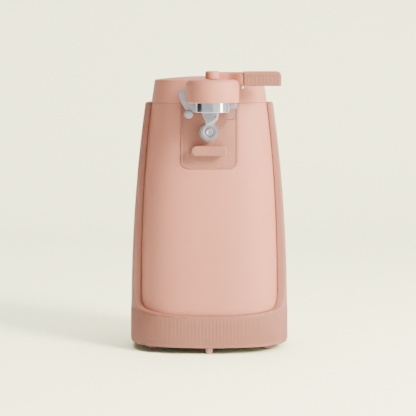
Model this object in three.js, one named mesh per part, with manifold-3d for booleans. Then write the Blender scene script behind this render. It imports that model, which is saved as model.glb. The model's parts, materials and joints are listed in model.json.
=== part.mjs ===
// An upright electric can opener: a flared casing with a convex front panel, a toothed feed wheel driven
// through three gear pairs by a shaded-pole motor, and a tilting cutting lever that carries the blade and
// a floating lid magnet. Millimetres, +Z up, front towards -Y. The group's origin is the middle of the
// plan box at table level. Inside the code the body's own frame is used, centred on the base.
import * as THREE from "three";
import { mergeVertices } from "three/addons/utils/BufferGeometryUtils.js";
import Module from "manifold-3d";

const wasm = await Module();
wasm.setup();

// ---------------------------------------------------------------- driving dimensions
const FOOT_HEIGHT = 4.8;
const SHOULDER_Z = 177.5; // top edge of the casing, where the head rises out of it
const HEAD_HEIGHT = 16.1; // from the shoulder to the head's top edge
const DOME_RISE = 2.6; // crown of the head's top above its edge
const LIP_Z = 27.6; // top of the base band at the front

const BASE_HALF_WIDTH = 57.2; // casing at the table
const SHOULDER_HALF_WIDTH = 46.2; // casing at the shoulder
const BASE_HALF_DEPTH = 43;
const CASING_FRONT_LEAN = 3; // how far the casing's front and back draw in towards the shoulder
const CASING_BACK_LEAN = 6;
const CASING_FLARE = 2.35; // exponent of the flare: higher keeps the foot straight for longer
const CASING_ROUNDNESS = 2.6; // exponent of the superellipse in plan
const CASING_WALL = 2.5;
const RIM_THICKNESS = 3; // flange behind the front window and at the shoulder
const LIP_SLOPE = 0.22; // the lip's rise towards the back, per mm
const RIM_LOW_Y = -20; // front edges of the side walls, at the lip's height
const RIM_TOP_Y = -14; // and at the shoulder
const LIP_CORNER = 9; // how far each way the lip's turn into the side edges reaches

const PANEL_HALF_WIDTH = 50.9; // front panel and head at the table, by the same flare
const PANEL_DRAW_IN = 9.4; // how much narrower the panel is at the shoulder
const PANEL_FRONT_DEPTH = 39.4;
const PANEL_FRONT_LEAN = 2.6;
const PANEL_BACK_DEPTH = 37.5;
const PANEL_BACK_LEAN = 5.5;
const PANEL_FLARE = 2.6;
const PANEL_ROUNDNESS = 2.9;
const PANEL_WALL = 2.2;
const PANEL_FOOT_Z = 14; // lower edge of the panel, behind the base band
const PANEL_RETURN_Y = -8; // how far the panel's sides run back inside the casing

const SEAM = 0.4; // gap between neighbouring mouldings
const FIT = 0.3; // gap where one fixed piece seats in another
const RUNNING = 0.15; // radial gap of a turning or sliding piece

const DRIVE_DROP = 19.8; // drive axis below the shoulder
const WHEEL_RADIUS = 7.1;
const WHEEL_TEETH = 28;
const WHEEL_TOOTH_DEPTH = 1;
const WHEEL_WIDTH = 3;
const WHEEL_STANDOFF = 5; // from the drive plate to the wheel's back
const DRIVE_SHAFT_RADIUS = 3;

const PLATE_HALF_WIDTH = 20.2;
const PLATE_BOTTOM_DROP = 26.4; // below the drive axis
const PLATE_TOP_RISE = 28.8; // above the drive axis
const PLATE_CORNER = 6;
const PLATE_PROUD = 0.5;
const PLATE_THICKNESS = 2.6;

const REST_LENGTH = 25;
const REST_HEIGHT = 7;
const REST_DROP = 13.3; // can rest's centre below the drive axis

const PIVOT_X = -8; // lever pivot, from the drive axis
const PIVOT_RISE = 22.3;
const LEVER_SHAFT_RADIUS = 4;
const BUSH_WALL = 1.8;

const CAP_X = 2.2;
const CAP_RADIUS = 18.2;
const CAP_HEIGHT = 15.9;
const CAP_BOTTOM_RISE = 20.6; // cap's underside above the drive axis
const CAP_EDGE = 4.5;
const MAGNET_RADIUS = 11.7;
const MAGNET_CUP_HEIGHT = 8.2;
const MAGNET_SHOW = 6.6; // how far the cup hangs below the cap
const MAGNET_LIFT = 4;
const MAGNET_BACK_GAP = 2; // between the blade and the magnet cup
const POST_RADIUS = 2.2;
const KNOB_RADIUS = 4.95;
const KNOB_HEIGHT = 5.5;

const GRIP_LENGTH = 26.3;
const GRIP_START_X = 23.3;
const GRIP_HEIGHT = 10.2;
const GRIP_DEPTH = 13;
const GRIP_TOP_RISE = 42.1; // top of the grip above the drive axis
const ARM_THICKNESS = 5;

const BRACKET_THICKNESS = 1.6;
const BRACKET_STANDOFF = 3.6; // bracket's back in front of the drive plate
const BLADE_THICKNESS = 1.6;
const BLADE_GAP = 0.8; // blade's back in front of the wheel's face

const GEAR_MODULE = 0.9;
const GEAR_TEETH = 38;
const PINION_TEETH = 10;
const GEAR_WIDTH = 4.5;
const GEAR_GAP = 1; // between neighbouring gear layers
const TOOTH_BACKLASH = 0.55;
const AXLE_RADIUS = 2;
const GEARBOX_PLATE = 1.5;
const POST_HALF_SPAN = 24; // gearbox posts, left and right of the middle
const GEARBOX_POST_RADIUS = 3;

const ROTOR_RADIUS = 11;
const AIR_GAP = 0.5;
const STACK_LENGTH = 17;
const STACK_HALF_WIDTH = 24;
const COIL_BAR = 9.5; // height of the core's bar inside the coil
const COIL_WINDOW = 20.5;
const COIL_BUILD = 7.5; // winding depth on each side of the bar
const MOTOR_SHAFT_RADIUS = 1.8;

const GLAND_HOLE_RADIUS = 3.6;
const GLAND_Z = 19;

// ---------------------------------------------------------------- derived places
const DRIVE_Z = SHOULDER_Z - DRIVE_DROP;
const HEAD_EDGE_Z = SHOULDER_Z + HEAD_HEIGHT;

// Casing and panel sizes at height z: straight at the foot, drawing in faster towards the shoulder.
const casingSize = (z, inset = 0) => {
  const f = Math.max(0, z / SHOULDER_Z) ** CASING_FLARE;
  return {
    w: BASE_HALF_WIDTH - (BASE_HALF_WIDTH - SHOULDER_HALF_WIDTH) * f - inset,
    front: BASE_HALF_DEPTH - CASING_FRONT_LEAN * f - inset,
    back: BASE_HALF_DEPTH - CASING_BACK_LEAN * f - inset,
    n: CASING_ROUNDNESS,
  };
};
const panelSize = (z, inset = 0) => {
  const f = Math.max(0, z / SHOULDER_Z) ** PANEL_FLARE;
  return {
    w: PANEL_HALF_WIDTH - PANEL_DRAW_IN * f - inset,
    front: PANEL_FRONT_DEPTH - PANEL_FRONT_LEAN * f - inset,
    back: PANEL_BACK_DEPTH - PANEL_BACK_LEAN * f - inset,
    n: PANEL_ROUNDNESS,
  };
};
// y of the panel's front surface at (x, z).
const panelFrontY = (x, z, inset = 0) => {
  const s = panelSize(z, inset);
  return -s.front * Math.max(0, 1 - Math.abs(x / s.w) ** s.n) ** (1 / s.n);
};

const PLATE_FRONT_Y = panelFrontY(0, DRIVE_Z) - PLATE_PROUD;
const PLATE_BACK_Y = PLATE_FRONT_Y + PLATE_THICKNESS;
const WHEEL_BACK_Y = PLATE_FRONT_Y - WHEEL_STANDOFF;
const WHEEL_FRONT_Y = WHEEL_BACK_Y - WHEEL_WIDTH;
const BRACKET_BACK_Y = PLATE_FRONT_Y - BRACKET_STANDOFF;
const BRACKET_FRONT_Y = BRACKET_BACK_Y - BRACKET_THICKNESS;
const BLADE_BACK_Y = WHEEL_FRONT_Y - BLADE_GAP;
const BLADE_FRONT_Y = BLADE_BACK_Y - BLADE_THICKNESS;
const ARM_BACK_Y = BRACKET_FRONT_Y - FIT;
const ARM_FRONT_Y = ARM_BACK_Y - ARM_THICKNESS;
// The magnet hangs in front of the blade, and the cap around it reaches back no further than the arm.
const MAGNET_Y = Math.min(BLADE_FRONT_Y - MAGNET_BACK_GAP - MAGNET_RADIUS, ARM_BACK_Y - CAP_RADIUS);
const CAP_BOTTOM_Z = DRIVE_Z + CAP_BOTTOM_RISE;
const CAP_TOP_Z = CAP_BOTTOM_Z + CAP_HEIGHT;
const MAGNET_BOTTOM_Z = CAP_BOTTOM_Z - MAGNET_SHOW;
const PIVOT_Z = DRIVE_Z + PIVOT_RISE;

const PITCH_RADIUS_GEAR = (GEAR_MODULE * GEAR_TEETH) / 2;
const GEAR_OUTER_RADIUS = PITCH_RADIUS_GEAR + GEAR_MODULE;
const GEAR_DISTANCE = (GEAR_MODULE * (GEAR_TEETH + PINION_TEETH)) / 2;
const GEAR_OFFSET = GEAR_DISTANCE / Math.SQRT2; // the second shaft sits down and left at 45 degrees
const SECOND_SHAFT = { x: -GEAR_OFFSET, z: DRIVE_Z - GEAR_OFFSET };
const FIRST_SHAFT = { x: 0, z: DRIVE_Z - 2 * GEAR_OFFSET };
const MOTOR = { x: 0, z: FIRST_SHAFT.z - GEAR_DISTANCE };
const POST_TOP_Z = DRIVE_Z + 12.5;
const POST_LOW_Z = FIRST_SHAFT.z - 16;
const GEARBOX_HALF_WIDTH = POST_HALF_SPAN + 4;
const GEARBOX_TOP_Z = POST_TOP_Z + 4;
const GEARBOX_LOW_Z = MOTOR.z - 10;

// The gearbox stands as far forward as the panel's inside lets its top corners go.
const GEARBOX_FRONT_Y = panelFrontY(GEARBOX_HALF_WIDTH, GEARBOX_TOP_Z, PANEL_WALL) + 2.7;
const LAYER_Y = [0, 1, 2].map(
  (i) => GEARBOX_FRONT_Y + GEARBOX_PLATE + 1.5 + i * (GEAR_WIDTH + GEAR_GAP),
);
const GEARBOX_BACK_Y = LAYER_Y[2] + GEAR_WIDTH + 2;
const STACK_FRONT_Y = GEARBOX_BACK_Y + GEARBOX_PLATE + 6;
const STACK_BACK_Y = STACK_FRONT_Y + STACK_LENGTH;

// ---------------------------------------------------------------- geometry helpers
// A closed three.js geometry as a manifold solid: merges shared vertices and drops slivers at poles.
function solid(geometry) {
  const bare = geometry.index ? geometry.toNonIndexed() : geometry.clone();
  bare.deleteAttribute("normal");
  bare.deleteAttribute("uv");
  const merged = mergeVertices(bare, 1e-4);
  const ids = merged.index.array;
  const kept = [];
  for (let i = 0; i < ids.length; i += 3) {
    const [a, b, c] = [ids[i], ids[i + 1], ids[i + 2]];
    if (a !== b && b !== c && c !== a) kept.push(a, b, c);
  }
  return new wasm.Manifold(
    new wasm.Mesh({
      numProp: 3,
      vertProperties: merged.attributes.position.array,
      triVerts: new Uint32Array(kept),
    }),
  );
}

// A manifold solid back as a three.js geometry.
function geometryOf(manifold) {
  const mesh = manifold.getMesh();
  return new THREE.BufferGeometry()
    .setAttribute("position", new THREE.BufferAttribute(mesh.vertProperties, 3))
    .setIndex(new THREE.BufferAttribute(mesh.triVerts, 1));
}

const join = (...parts) => parts.reduce((a, b) => a.add(b));
const cut = (body, ...tools) => tools.reduce((a, b) => a.subtract(b), body);

// Box from its low and high corners.
function block([x0, y0, z0], [x1, y1, z1]) {
  const g = new THREE.BoxGeometry(x1 - x0, y1 - y0, z1 - z0);
  return solid(g.translate((x0 + x1) / 2, (y0 + y1) / 2, (z0 + z1) / 2));
}

// Solid of revolution about a vertical axis through (x, y). Profile points are [radius, z], bottom to top.
function turned(profile, x, y, segments = 32) {
  const points = profile.map(([r, z]) => new THREE.Vector2(r, z));
  const g = new THREE.LatheGeometry(points, segments);
  return solid(g.rotateX(Math.PI / 2).translate(x, y, 0));
}

// Solid of revolution about a front-to-back axis through (x, z). Profile points are [radius, y].
function turnedAlongY(profile, x, z, segments = 18) {
  const points = profile.map(([r, y]) => new THREE.Vector2(r, y));
  return solid(new THREE.LatheGeometry(points, segments).translate(x, 0, z));
}

// Cylinder between two y values.
const rod = (radius, x, z, y0, y1, segments = 18) =>
  turnedAlongY([[0, y0], [radius, y0], [radius, y1], [0, y1]], x, z, segments);
// Cylinder between two heights.
const column = (radius, x, y, z0, z1, segments = 18) =>
  turned([[0, z0], [radius, z0], [radius, z1], [0, z1]], x, y, segments);

// A shape drawn in the front view (x, z), given its thickness from y0 to y1.
function plateFromFront(shape, y0, y1, curveSegments = 5) {
  const g = new THREE.ExtrudeGeometry(shape, { depth: y1 - y0, bevelEnabled: false, curveSegments });
  return solid(g.rotateX(Math.PI / 2).translate(0, y1, 0));
}

// A shape drawn in the side view (y, z), given its width from x0 to x1.
function plateFromSide(shape, x0, x1, curveSegments = 8) {
  const g = new THREE.ExtrudeGeometry(shape, { depth: x1 - x0, bevelEnabled: false, curveSegments });
  return solid(g.rotateY(Math.PI / 2).rotateX(Math.PI / 2).translate(x0, 0, 0));
}

// Rounded rectangle between two corners, with one corner radius.
function roundedRectangle(x0, z0, x1, z1, r) {
  const s = new THREE.Shape();
  s.moveTo(x0 + r, z0).lineTo(x1 - r, z0).absarc(x1 - r, z0 + r, r, -Math.PI / 2, 0, false);
  s.lineTo(x1, z1 - r).absarc(x1 - r, z1 - r, r, 0, Math.PI / 2, false);
  s.lineTo(x0 + r, z1).absarc(x0 + r, z1 - r, r, Math.PI / 2, Math.PI, false);
  s.lineTo(x0, z0 + r).absarc(x0 + r, z0 + r, r, Math.PI, Math.PI * 1.5, false);
  return s;
}

// Loft through superellipse sections. sizeAt gives {w, front, back, n}; each level is [z, scale].
function loft(levels, sizeAt, around = 36) {
  const positions = [];
  for (const [z, scale] of levels) {
    const { w, front, back, n } = sizeAt(z);
    for (let k = 0; k < around; k++) {
      const t = (2 * Math.PI * k) / around;
      const c = Math.cos(t);
      const s = Math.sin(t);
      const depth = s < 0 ? front : back;
      positions.push(
        scale * w * Math.sign(c) * Math.abs(c) ** (2 / n),
        scale * depth * Math.sign(s) * Math.abs(s) ** (2 / n),
        z,
      );
    }
  }
  const centre = levels.length * around;
  positions.push(0, 0, levels[0][0], 0, 0, levels[levels.length - 1][0]);
  const index = [];
  for (let k = 0; k < around; k++) {
    const next = (k + 1) % around;
    for (let i = 0; i + 1 < levels.length; i++) {
      const a = i * around;
      const b = a + around;
      index.push(a + k, a + next, b + next, a + k, b + next, b + k);
    }
    const top = (levels.length - 1) * around;
    index.push(centre, next, k, centre + 1, top + k, top + next);
  }
  const g = new THREE.BufferGeometry();
  g.setAttribute("position", new THREE.Float32BufferAttribute(positions, 3));
  return solid(g.setIndex(index));
}

const steps = (from, to, count) =>
  Array.from({ length: count + 1 }, (_, i) => from + ((to - from) * i) / count);
const casingLoft = (z0, z1, inset, count = 5) =>
  loft(steps(z0, z1, count).map((z) => [z, 1]), (z) => casingSize(z, inset));
const panelLoft = (z0, z1, inset, count = 5) =>
  loft(steps(z0, z1, count).map((z) => [z, 1]), (z) => panelSize(z, inset));

// ---------------------------------------------------------------- colours
const finish = (color, roughness, metalness = 0) =>
  new THREE.MeshStandardMaterial({ color, roughness, metalness });
const ROSE = finish(0xd7aa9b, 0.6);
const STEEL = finish(0xc4c6c8, 0.35, 1);
const BRIGHT_STEEL = finish(0xe2e4e6, 0.15, 1);
const DARK_STEEL = finish(0x7c7f83, 0.45, 1);
const NYLON = finish(0xe9e6dc, 0.55);
const BLACK = finish(0x26262a, 0.6);
const FERRITE = finish(0x3b3b3e, 0.7);
const COPPER = finish(0xb4693d, 0.35, 1);
const BRONZE = finish(0xb08a4f, 0.4, 1);

const opener = new THREE.Group();
function add(group, name, manifold, material) {
  const mesh = new THREE.Mesh(geometryOf(manifold), material);
  mesh.name = name;
  group.add(mesh);
  return mesh;
}

// ---------------------------------------------------------------- casing, panel and head
// Height of the lip at y, and place of the side edge at z.
const lipZ = (y) => LIP_Z + LIP_SLOPE * (y + BASE_HALF_DEPTH);
const rimY = (z) => RIM_LOW_Y + ((RIM_TOP_Y - RIM_LOW_Y) * (z - LIP_Z)) / (SHOULDER_Z - LIP_Z);

// Region in front of and above the front window's edge, grown backwards and downwards by `grow`.
function windowPrism(grow) {
  const reach = BASE_HALF_DEPTH + 20;
  const top = SHOULDER_Z + 60;
  const cornerY = rimY(lipZ(RIM_LOW_Y)) + grow;
  const cornerZ = lipZ(cornerY) - grow;
  const turn = LIP_CORNER + grow;
  const s = new THREE.Shape();
  s.moveTo(-reach, lipZ(-reach) - grow).lineTo(cornerY - turn, lipZ(cornerY - turn) - grow);
  s.quadraticCurveTo(cornerY, cornerZ, rimY(cornerZ + turn) + grow, cornerZ + turn);
  s.lineTo(rimY(top) + grow, top).lineTo(-reach, top);
  const half = BASE_HALF_WIDTH + 20;
  return plateFromSide(s, -half, half);
}

const CASING_LOW_Z = FOOT_HEIGHT;
const BASE_PLATE_THICKNESS = 2.5;
const BOSS_RADIUS = 3.6;
const SCREW_RADIUS = 1.5;
const BASE_SCREWS = [-1, 1].flatMap((sx) => [-1, 1].map((sy) => ({
  x: sx * BASE_HALF_WIDTH * 0.45,
  y: sy * BASE_HALF_DEPTH * 0.6,
})));
const BOSS_TOP_Z = CASING_LOW_Z + 24;
const VENT = { width: 2.4, height: 22, pitch: 6, count: 7, z: MOTOR.z + 6 };

function casing() {
  const outer = casingLoft(CASING_LOW_Z, SHOULDER_Z, 0);
  const cavity = casingLoft(CASING_LOW_Z - 5, SHOULDER_Z + 5, CASING_WALL);
  const panelSpace = panelLoft(0, SHOULDER_Z + 5, -SEAM);
  const windowRim = outer.intersect(windowPrism(RIM_THICKNESS)).subtract(panelSpace);
  const wide = 2 * BASE_HALF_WIDTH;
  const shoulderSlab = block([-wide, -wide, SHOULDER_Z - RIM_THICKNESS], [wide, wide, SHOULDER_Z + 1]);
  const shoulderRim = outer.intersect(shoulderSlab).subtract(panelSpace);
  let body = join(outer.subtract(cavity), windowRim, shoulderRim);
  // Four blind bosses stand over the base plate, each tied to the wall by a rib.
  for (const { x, y } of BASE_SCREWS) {
    const low = CASING_LOW_Z + BASE_PLATE_THICKNESS + FIT;
    const far = Math.sign(y) * wide;
    const rib = block([x - 0.8, Math.min(y, far), low], [x + 0.8, Math.max(y, far), PANEL_FOOT_Z - 1]);
    const boss = join(column(BOSS_RADIUS, x, y, low, BOSS_TOP_Z, 16), rib).intersect(outer);
    body = body.add(boss).subtract(column(SCREW_RADIUS + FIT, x, y, low - 1, BOSS_TOP_Z - 4, 12));
  }
  const vents = Array.from({ length: VENT.count }, (_, i) => {
    const x = (i - (VENT.count - 1) / 2) * VENT.pitch;
    const half = VENT.width / 2;
    const slot = roundedRectangle(x - half, VENT.z, x + half, VENT.z + VENT.height, half - 0.01);
    return plateFromFront(slot, 0, wide, 2);
  });
  const glandHole = rod(GLAND_HOLE_RADIUS + 2 + FIT, 0, GLAND_Z, 0, wide);
  return cut(body, windowPrism(0), ...vents, glandHole);
}

const plateOutline = (grow) =>
  roundedRectangle(
    -PLATE_HALF_WIDTH - grow, DRIVE_Z - PLATE_BOTTOM_DROP - grow,
    PLATE_HALF_WIDTH + grow, DRIVE_Z + PLATE_TOP_RISE + grow,
    PLATE_CORNER + grow,
  );
const plateWindow = () => plateFromFront(plateOutline(SEAM), -2 * BASE_HALF_DEPTH, -10);

function frontPanel() {
  const skin = panelLoft(PANEL_FOOT_Z, SHOULDER_Z - SEAM / 2, 0).subtract(
    panelLoft(PANEL_FOOT_Z - 5, SHOULDER_Z + 5, PANEL_WALL),
  );
  const wide = 2 * BASE_HALF_WIDTH;
  const rear = block([-wide, PANEL_RETURN_Y, -5], [wide, wide, SHOULDER_Z + 5]);
  return cut(skin, rear, plateWindow());
}

// Head: the panel's loft carried on above the shoulder, closed by a shallow dome.
function headCover() {
  const low = SHOULDER_Z + SEAM / 2;
  const dome = (inset, foot, shares) => {
    const rings = [[foot, 1], [HEAD_EDGE_Z - 1.2, 1]];
    for (const q of shares) rings.push([HEAD_EDGE_Z + DOME_RISE * (1 - q * q) - inset, q]);
    return loft(rings, (z) => panelSize(Math.min(z, HEAD_EDGE_Z), inset));
  };
  const outer = dome(0, low, [0.98, 0.88, 0.65, 0.35]);
  return cut(outer, dome(PANEL_WALL, low - 3, [0.95, 0.5]), plateWindow());
}

add(opener, "casing", casing(), ROSE);
add(opener, "front_panel", frontPanel(), ROSE);
add(opener, "head_cover", headCover(), ROSE);

// ---------------------------------------------------------------- drive plate, bushes and can rest
const DRIVE_BUSH_RADIUS = DRIVE_SHAFT_RADIUS + RUNNING + BUSH_WALL;
const LEVER_BUSH_RADIUS = LEVER_SHAFT_RADIUS + RUNNING + BUSH_WALL;
const REST_Z = DRIVE_Z - REST_DROP;
const REST_STEM_RADIUS = 2;
const REST_STEM_X = 7.5;

function drivePlate() {
  const shell = panelLoft(DRIVE_Z - 60, HEAD_EDGE_Z + 4, -PLATE_PROUD, 8).subtract(
    panelLoft(DRIVE_Z - 60, HEAD_EDGE_Z + 5, PLATE_THICKNESS - PLATE_PROUD, 8),
  );
  const plate = shell.intersect(plateFromFront(plateOutline(0), -2 * BASE_HALF_DEPTH, -10));
  const holes = [-1, 1].map((s) => rod(REST_STEM_RADIUS + FIT, s * REST_STEM_X, REST_Z, -80, 0));
  return cut(
    plate,
    rod(DRIVE_BUSH_RADIUS + FIT, 0, DRIVE_Z, -80, 0),
    rod(LEVER_BUSH_RADIUS + FIT, PIVOT_X, PIVOT_Z, -80, 0),
    ...holes,
  );
}

// Flanged sleeve pressed into the plate from the front.
function flangedBush(outer, bore, x, z, back) {
  const flange = outer + 1.4;
  const y0 = PLATE_FRONT_Y - 1.2;
  const y1 = PLATE_FRONT_Y - FIT;
  const flangeEdge = [[flange, y0], [flange, y1]];
  return turnedAlongY([[bore, y0], ...flangeEdge, [outer, y1], [outer, back], [bore, back], [bore, y0]], x, z);
}

function canRest() {
  const r = REST_HEIGHT / 2;
  const pill = roundedRectangle(-REST_LENGTH / 2, REST_Z - r, REST_LENGTH / 2, REST_Z + r, r - 0.01);
  const seatY = panelFrontY(0, REST_Z) - PLATE_PROUD - FIT;
  const stemEnd = PLATE_BACK_Y + 1.5;
  const stems = [-1, 1].map((s) => rod(REST_STEM_RADIUS, s * REST_STEM_X, REST_Z, seatY - 1, stemEnd, 16));
  return join(plateFromFront(pill, WHEEL_FRONT_Y, seatY, 10), ...stems);
}

add(opener, "drive_plate", drivePlate(), ROSE);
const driveBore = DRIVE_SHAFT_RADIUS + RUNNING;
const leverBore = LEVER_SHAFT_RADIUS + RUNNING;
const driveBush = flangedBush(DRIVE_BUSH_RADIUS, driveBore, 0, DRIVE_Z, GEARBOX_FRONT_Y - FIT);
const leverBush = flangedBush(LEVER_BUSH_RADIUS, leverBore, PIVOT_X, PIVOT_Z, PLATE_BACK_Y + 3);
add(opener, "drive_bush", driveBush, BRONZE);
add(opener, "lever_bush", leverBush, BRONZE);
add(opener, "can_rest", canRest(), ROSE);

// ---------------------------------------------------------------- base plate, feet, gland
const FOOT_PEG_RADIUS = 2.2;
const FEET = {
  front_foot: { x: 0, y: -BASE_HALF_DEPTH + 7, r: 3.1 },
  left_foot: { x: -BASE_HALF_WIDTH * 0.71, y: -BASE_HALF_DEPTH * 0.3, r: 4.2 },
  right_foot: { x: BASE_HALF_WIDTH * 0.71, y: -BASE_HALF_DEPTH * 0.3, r: 4.2 },
  rear_left_foot: { x: -BASE_HALF_WIDTH * 0.63, y: BASE_HALF_DEPTH * 0.7 - 3, r: 4.2 },
  rear_right_foot: { x: BASE_HALF_WIDTH * 0.63, y: BASE_HALF_DEPTH * 0.7 - 3, r: 4.2 },
};

function basePlate() {
  const z0 = CASING_LOW_Z;
  const z1 = z0 + BASE_PLATE_THICKNESS;
  let plate = loft([[z0, 1], [z1, 1]], (z) => casingSize(z, CASING_WALL + SEAM));
  for (const { x, y } of Object.values(FEET)) {
    plate = plate.subtract(column(FOOT_PEG_RADIUS + FIT, x, y, z0 - 1, z1 + 1, 12));
  }
  for (const { x, y } of BASE_SCREWS) {
    plate = plate.subtract(column(SCREW_RADIUS + FIT, x, y, z0 - 1, z1 + 1, 12));
    plate = plate.subtract(column(SCREW_RADIUS * 2 + FIT, x, y, z0 - 1, z0 + 1.7, 12));
  }
  return plate;
}

const foot = ({ x, y, r }) =>
  turned(
    [[0, 0], [r * 0.9, 0], [r, 1], [r, FOOT_HEIGHT - FIT], [FOOT_PEG_RADIUS, FOOT_HEIGHT - FIT],
      [FOOT_PEG_RADIUS, FOOT_HEIGHT + BASE_PLATE_THICKNESS + 1], [0, FOOT_HEIGHT + BASE_PLATE_THICKNESS + 1]],
    x, y, 16,
  );

const baseScrew = ({ x, y }) => {
  const z = CASING_LOW_Z;
  return turned(
    [[0, z + 0.1], [SCREW_RADIUS * 2, z + 0.1], [SCREW_RADIUS * 2, z + 1.1], [SCREW_RADIUS, z + 1.4],
      [SCREW_RADIUS, z + 14], [0, z + 15]],
    x, y, 12,
  );
};

// Moulded bush that the mains lead leaves through, gripped by the casing's back wall.
function cordGland() {
  const wallY = casingSize(GLAND_Z).back;
  const r = GLAND_HOLE_RADIUS;
  return turnedAlongY(
    [[r, wallY - 7], [r + 4, wallY - 7], [r + 4, wallY - 5], [r + 2, wallY - 5], [r + 2, wallY - 0.4],
      [r + 1.2, wallY - 0.1], [r, wallY - 0.1], [r, wallY - 7]],
    0, GLAND_Z, 18,
  );
}

add(opener, "base_plate", basePlate(), ROSE);
for (const [name, place] of Object.entries(FEET)) add(opener, name, foot(place), ROSE);
BASE_SCREWS.forEach((place, i) => add(opener, `base_screw_${i + 1}`, baseScrew(place), DARK_STEEL));
add(opener, "cord_gland", cordGland(), ROSE);

// ---------------------------------------------------------------- gearbox frame
const GEARBOX_CORNERS = [-1, 1].flatMap((s) => [
  { x: s * POST_HALF_SPAN, z: POST_LOW_Z },
  { x: s * POST_HALF_SPAN, z: POST_TOP_Z },
]);
const POST_SPIGOT_RADIUS = 1.6;

function gearboxPlate(y0, holes) {
  const outline = roundedRectangle(-GEARBOX_HALF_WIDTH, GEARBOX_LOW_Z, GEARBOX_HALF_WIDTH, GEARBOX_TOP_Z, 4);
  const y1 = y0 + GEARBOX_PLATE;
  const drilled = holes.map(([x, z, r]) => rod(r, x, z, y0 - 1, y1 + 1));
  const corners = GEARBOX_CORNERS.map(({ x, z }) => rod(POST_SPIGOT_RADIUS + FIT, x, z, y0 - 1, y1 + 1, 12));
  return cut(plateFromFront(outline, y0, y1), ...drilled, ...corners);
}

const gearboxPost = ({ x, z }) => {
  const a = GEARBOX_FRONT_Y + GEARBOX_PLATE + FIT;
  const b = GEARBOX_BACK_Y - FIT;
  const tip = GEARBOX_PLATE + 1.2;
  return turnedAlongY(
    [[0, a - tip], [POST_SPIGOT_RADIUS, a - tip], [POST_SPIGOT_RADIUS, a], [GEARBOX_POST_RADIUS, a],
      [GEARBOX_POST_RADIUS, b], [POST_SPIGOT_RADIUS, b], [POST_SPIGOT_RADIUS, b + tip], [0, b + tip]],
    x, z, 12,
  );
};

const axle = ({ x, z }) =>
  rod(AXLE_RADIUS, x, z, GEARBOX_FRONT_Y - 0.8, GEARBOX_BACK_Y + GEARBOX_PLATE + 0.8, 20);
const AXLE_HOLE = AXLE_RADIUS + RUNNING;
const PINION_CLEAR = 8; // hole in the rear plate that the rotor's pinion goes in through

add(opener, "gearbox_front_plate", gearboxPlate(GEARBOX_FRONT_Y, [
  [0, DRIVE_Z, DRIVE_SHAFT_RADIUS + RUNNING],
  [SECOND_SHAFT.x, SECOND_SHAFT.z, AXLE_HOLE],
  [FIRST_SHAFT.x, FIRST_SHAFT.z, AXLE_HOLE],
]), STEEL);
add(opener, "gearbox_rear_plate", gearboxPlate(GEARBOX_BACK_Y, [
  [0, DRIVE_Z, DRIVE_SHAFT_RADIUS + RUNNING],
  [SECOND_SHAFT.x, SECOND_SHAFT.z, AXLE_HOLE],
  [FIRST_SHAFT.x, FIRST_SHAFT.z, AXLE_HOLE],
  [MOTOR.x, MOTOR.z, PINION_CLEAR],
]), STEEL);
GEARBOX_CORNERS.forEach((place, i) => add(opener, `gearbox_post_${i + 1}`, gearboxPost(place), STEEL));
add(opener, "second_axle", axle(SECOND_SHAFT), DARK_STEEL);
add(opener, "first_axle", axle(FIRST_SHAFT), DARK_STEEL);

// ---------------------------------------------------------------- gears
// Outline of a straight-flanked spur gear. Each tooth has four points, and phase turns it in teeth.
function gearShape(teeth, phase) {
  const pitch = (GEAR_MODULE * teeth) / 2;
  const tip = pitch + 0.8 * GEAR_MODULE;
  const root = pitch - 1.1 * GEAR_MODULE;
  const half = (Math.PI * GEAR_MODULE) / 4 - TOOTH_BACKLASH / 2; // half tooth width on the pitch circle
  const slope = Math.tan(THREE.MathUtils.degToRad(20));
  const halfAt = (r) => Math.max(0.12, half + (pitch - r) * slope) / r;
  const s = new THREE.Shape();
  for (let i = 0; i < teeth; i++) {
    const a = ((i + phase) * 2 * Math.PI) / teeth;
    const corners = [
      [root, a - halfAt(root)], [tip, a - halfAt(tip)], [tip, a + halfAt(tip)], [root, a + halfAt(root)],
    ];
    for (const [r, angle] of corners) {
      const x = r * Math.cos(angle);
      const z = r * Math.sin(angle);
      if (i === 0 && angle === corners[0][1]) s.moveTo(x, z);
      else s.lineTo(x, z);
    }
  }
  s.closePath();
  return s;
}

// Gear body at a shaft, from y0 for one gear width.
function gearAt({ x, z }, teeth, y0, phase, width = GEAR_WIDTH) {
  return plateFromFront(gearShape(teeth, phase), y0, y0 + width).translate([x, 0, z]);
}

// Phase in teeth that puts a gap of the follower where the driver has a tooth, on the line of centres.
function meshPhase(driverTeeth, driverPhase, followerTeeth, direction) {
  const along = direction / (2 * Math.PI);
  const driverOffset = along * driverTeeth - driverPhase;
  return (along + 0.5) * followerTeeth + driverOffset + 0.5;
}

const ROTOR_PHASE = 0;
const towardsFirst = Math.atan2(FIRST_SHAFT.z - MOTOR.z, FIRST_SHAFT.x - MOTOR.x);
const towardsSecond = Math.atan2(SECOND_SHAFT.z - FIRST_SHAFT.z, SECOND_SHAFT.x - FIRST_SHAFT.x);
const towardsDrive = Math.atan2(DRIVE_Z - SECOND_SHAFT.z, -SECOND_SHAFT.x);
const FIRST_PHASE = meshPhase(PINION_TEETH, ROTOR_PHASE, GEAR_TEETH, towardsFirst);
const SECOND_PHASE = meshPhase(PINION_TEETH, 0, GEAR_TEETH, towardsSecond);
const OUTPUT_PHASE = meshPhase(PINION_TEETH, 0, GEAR_TEETH, towardsDrive);

// Gear and pinion moulded in one piece, running free on its axle.
function compoundGear(shaft, gearLayer, pinionLayer, phase) {
  const gear = gearAt(shaft, GEAR_TEETH, LAYER_Y[gearLayer], phase);
  const pinion = gearAt(shaft, PINION_TEETH, LAYER_Y[pinionLayer], 0, GEAR_WIDTH + GEAR_GAP);
  const bore = rod(AXLE_RADIUS + RUNNING, shaft.x, shaft.z, -60, 60, 20);
  return join(gear, pinion).subtract(bore);
}

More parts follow.
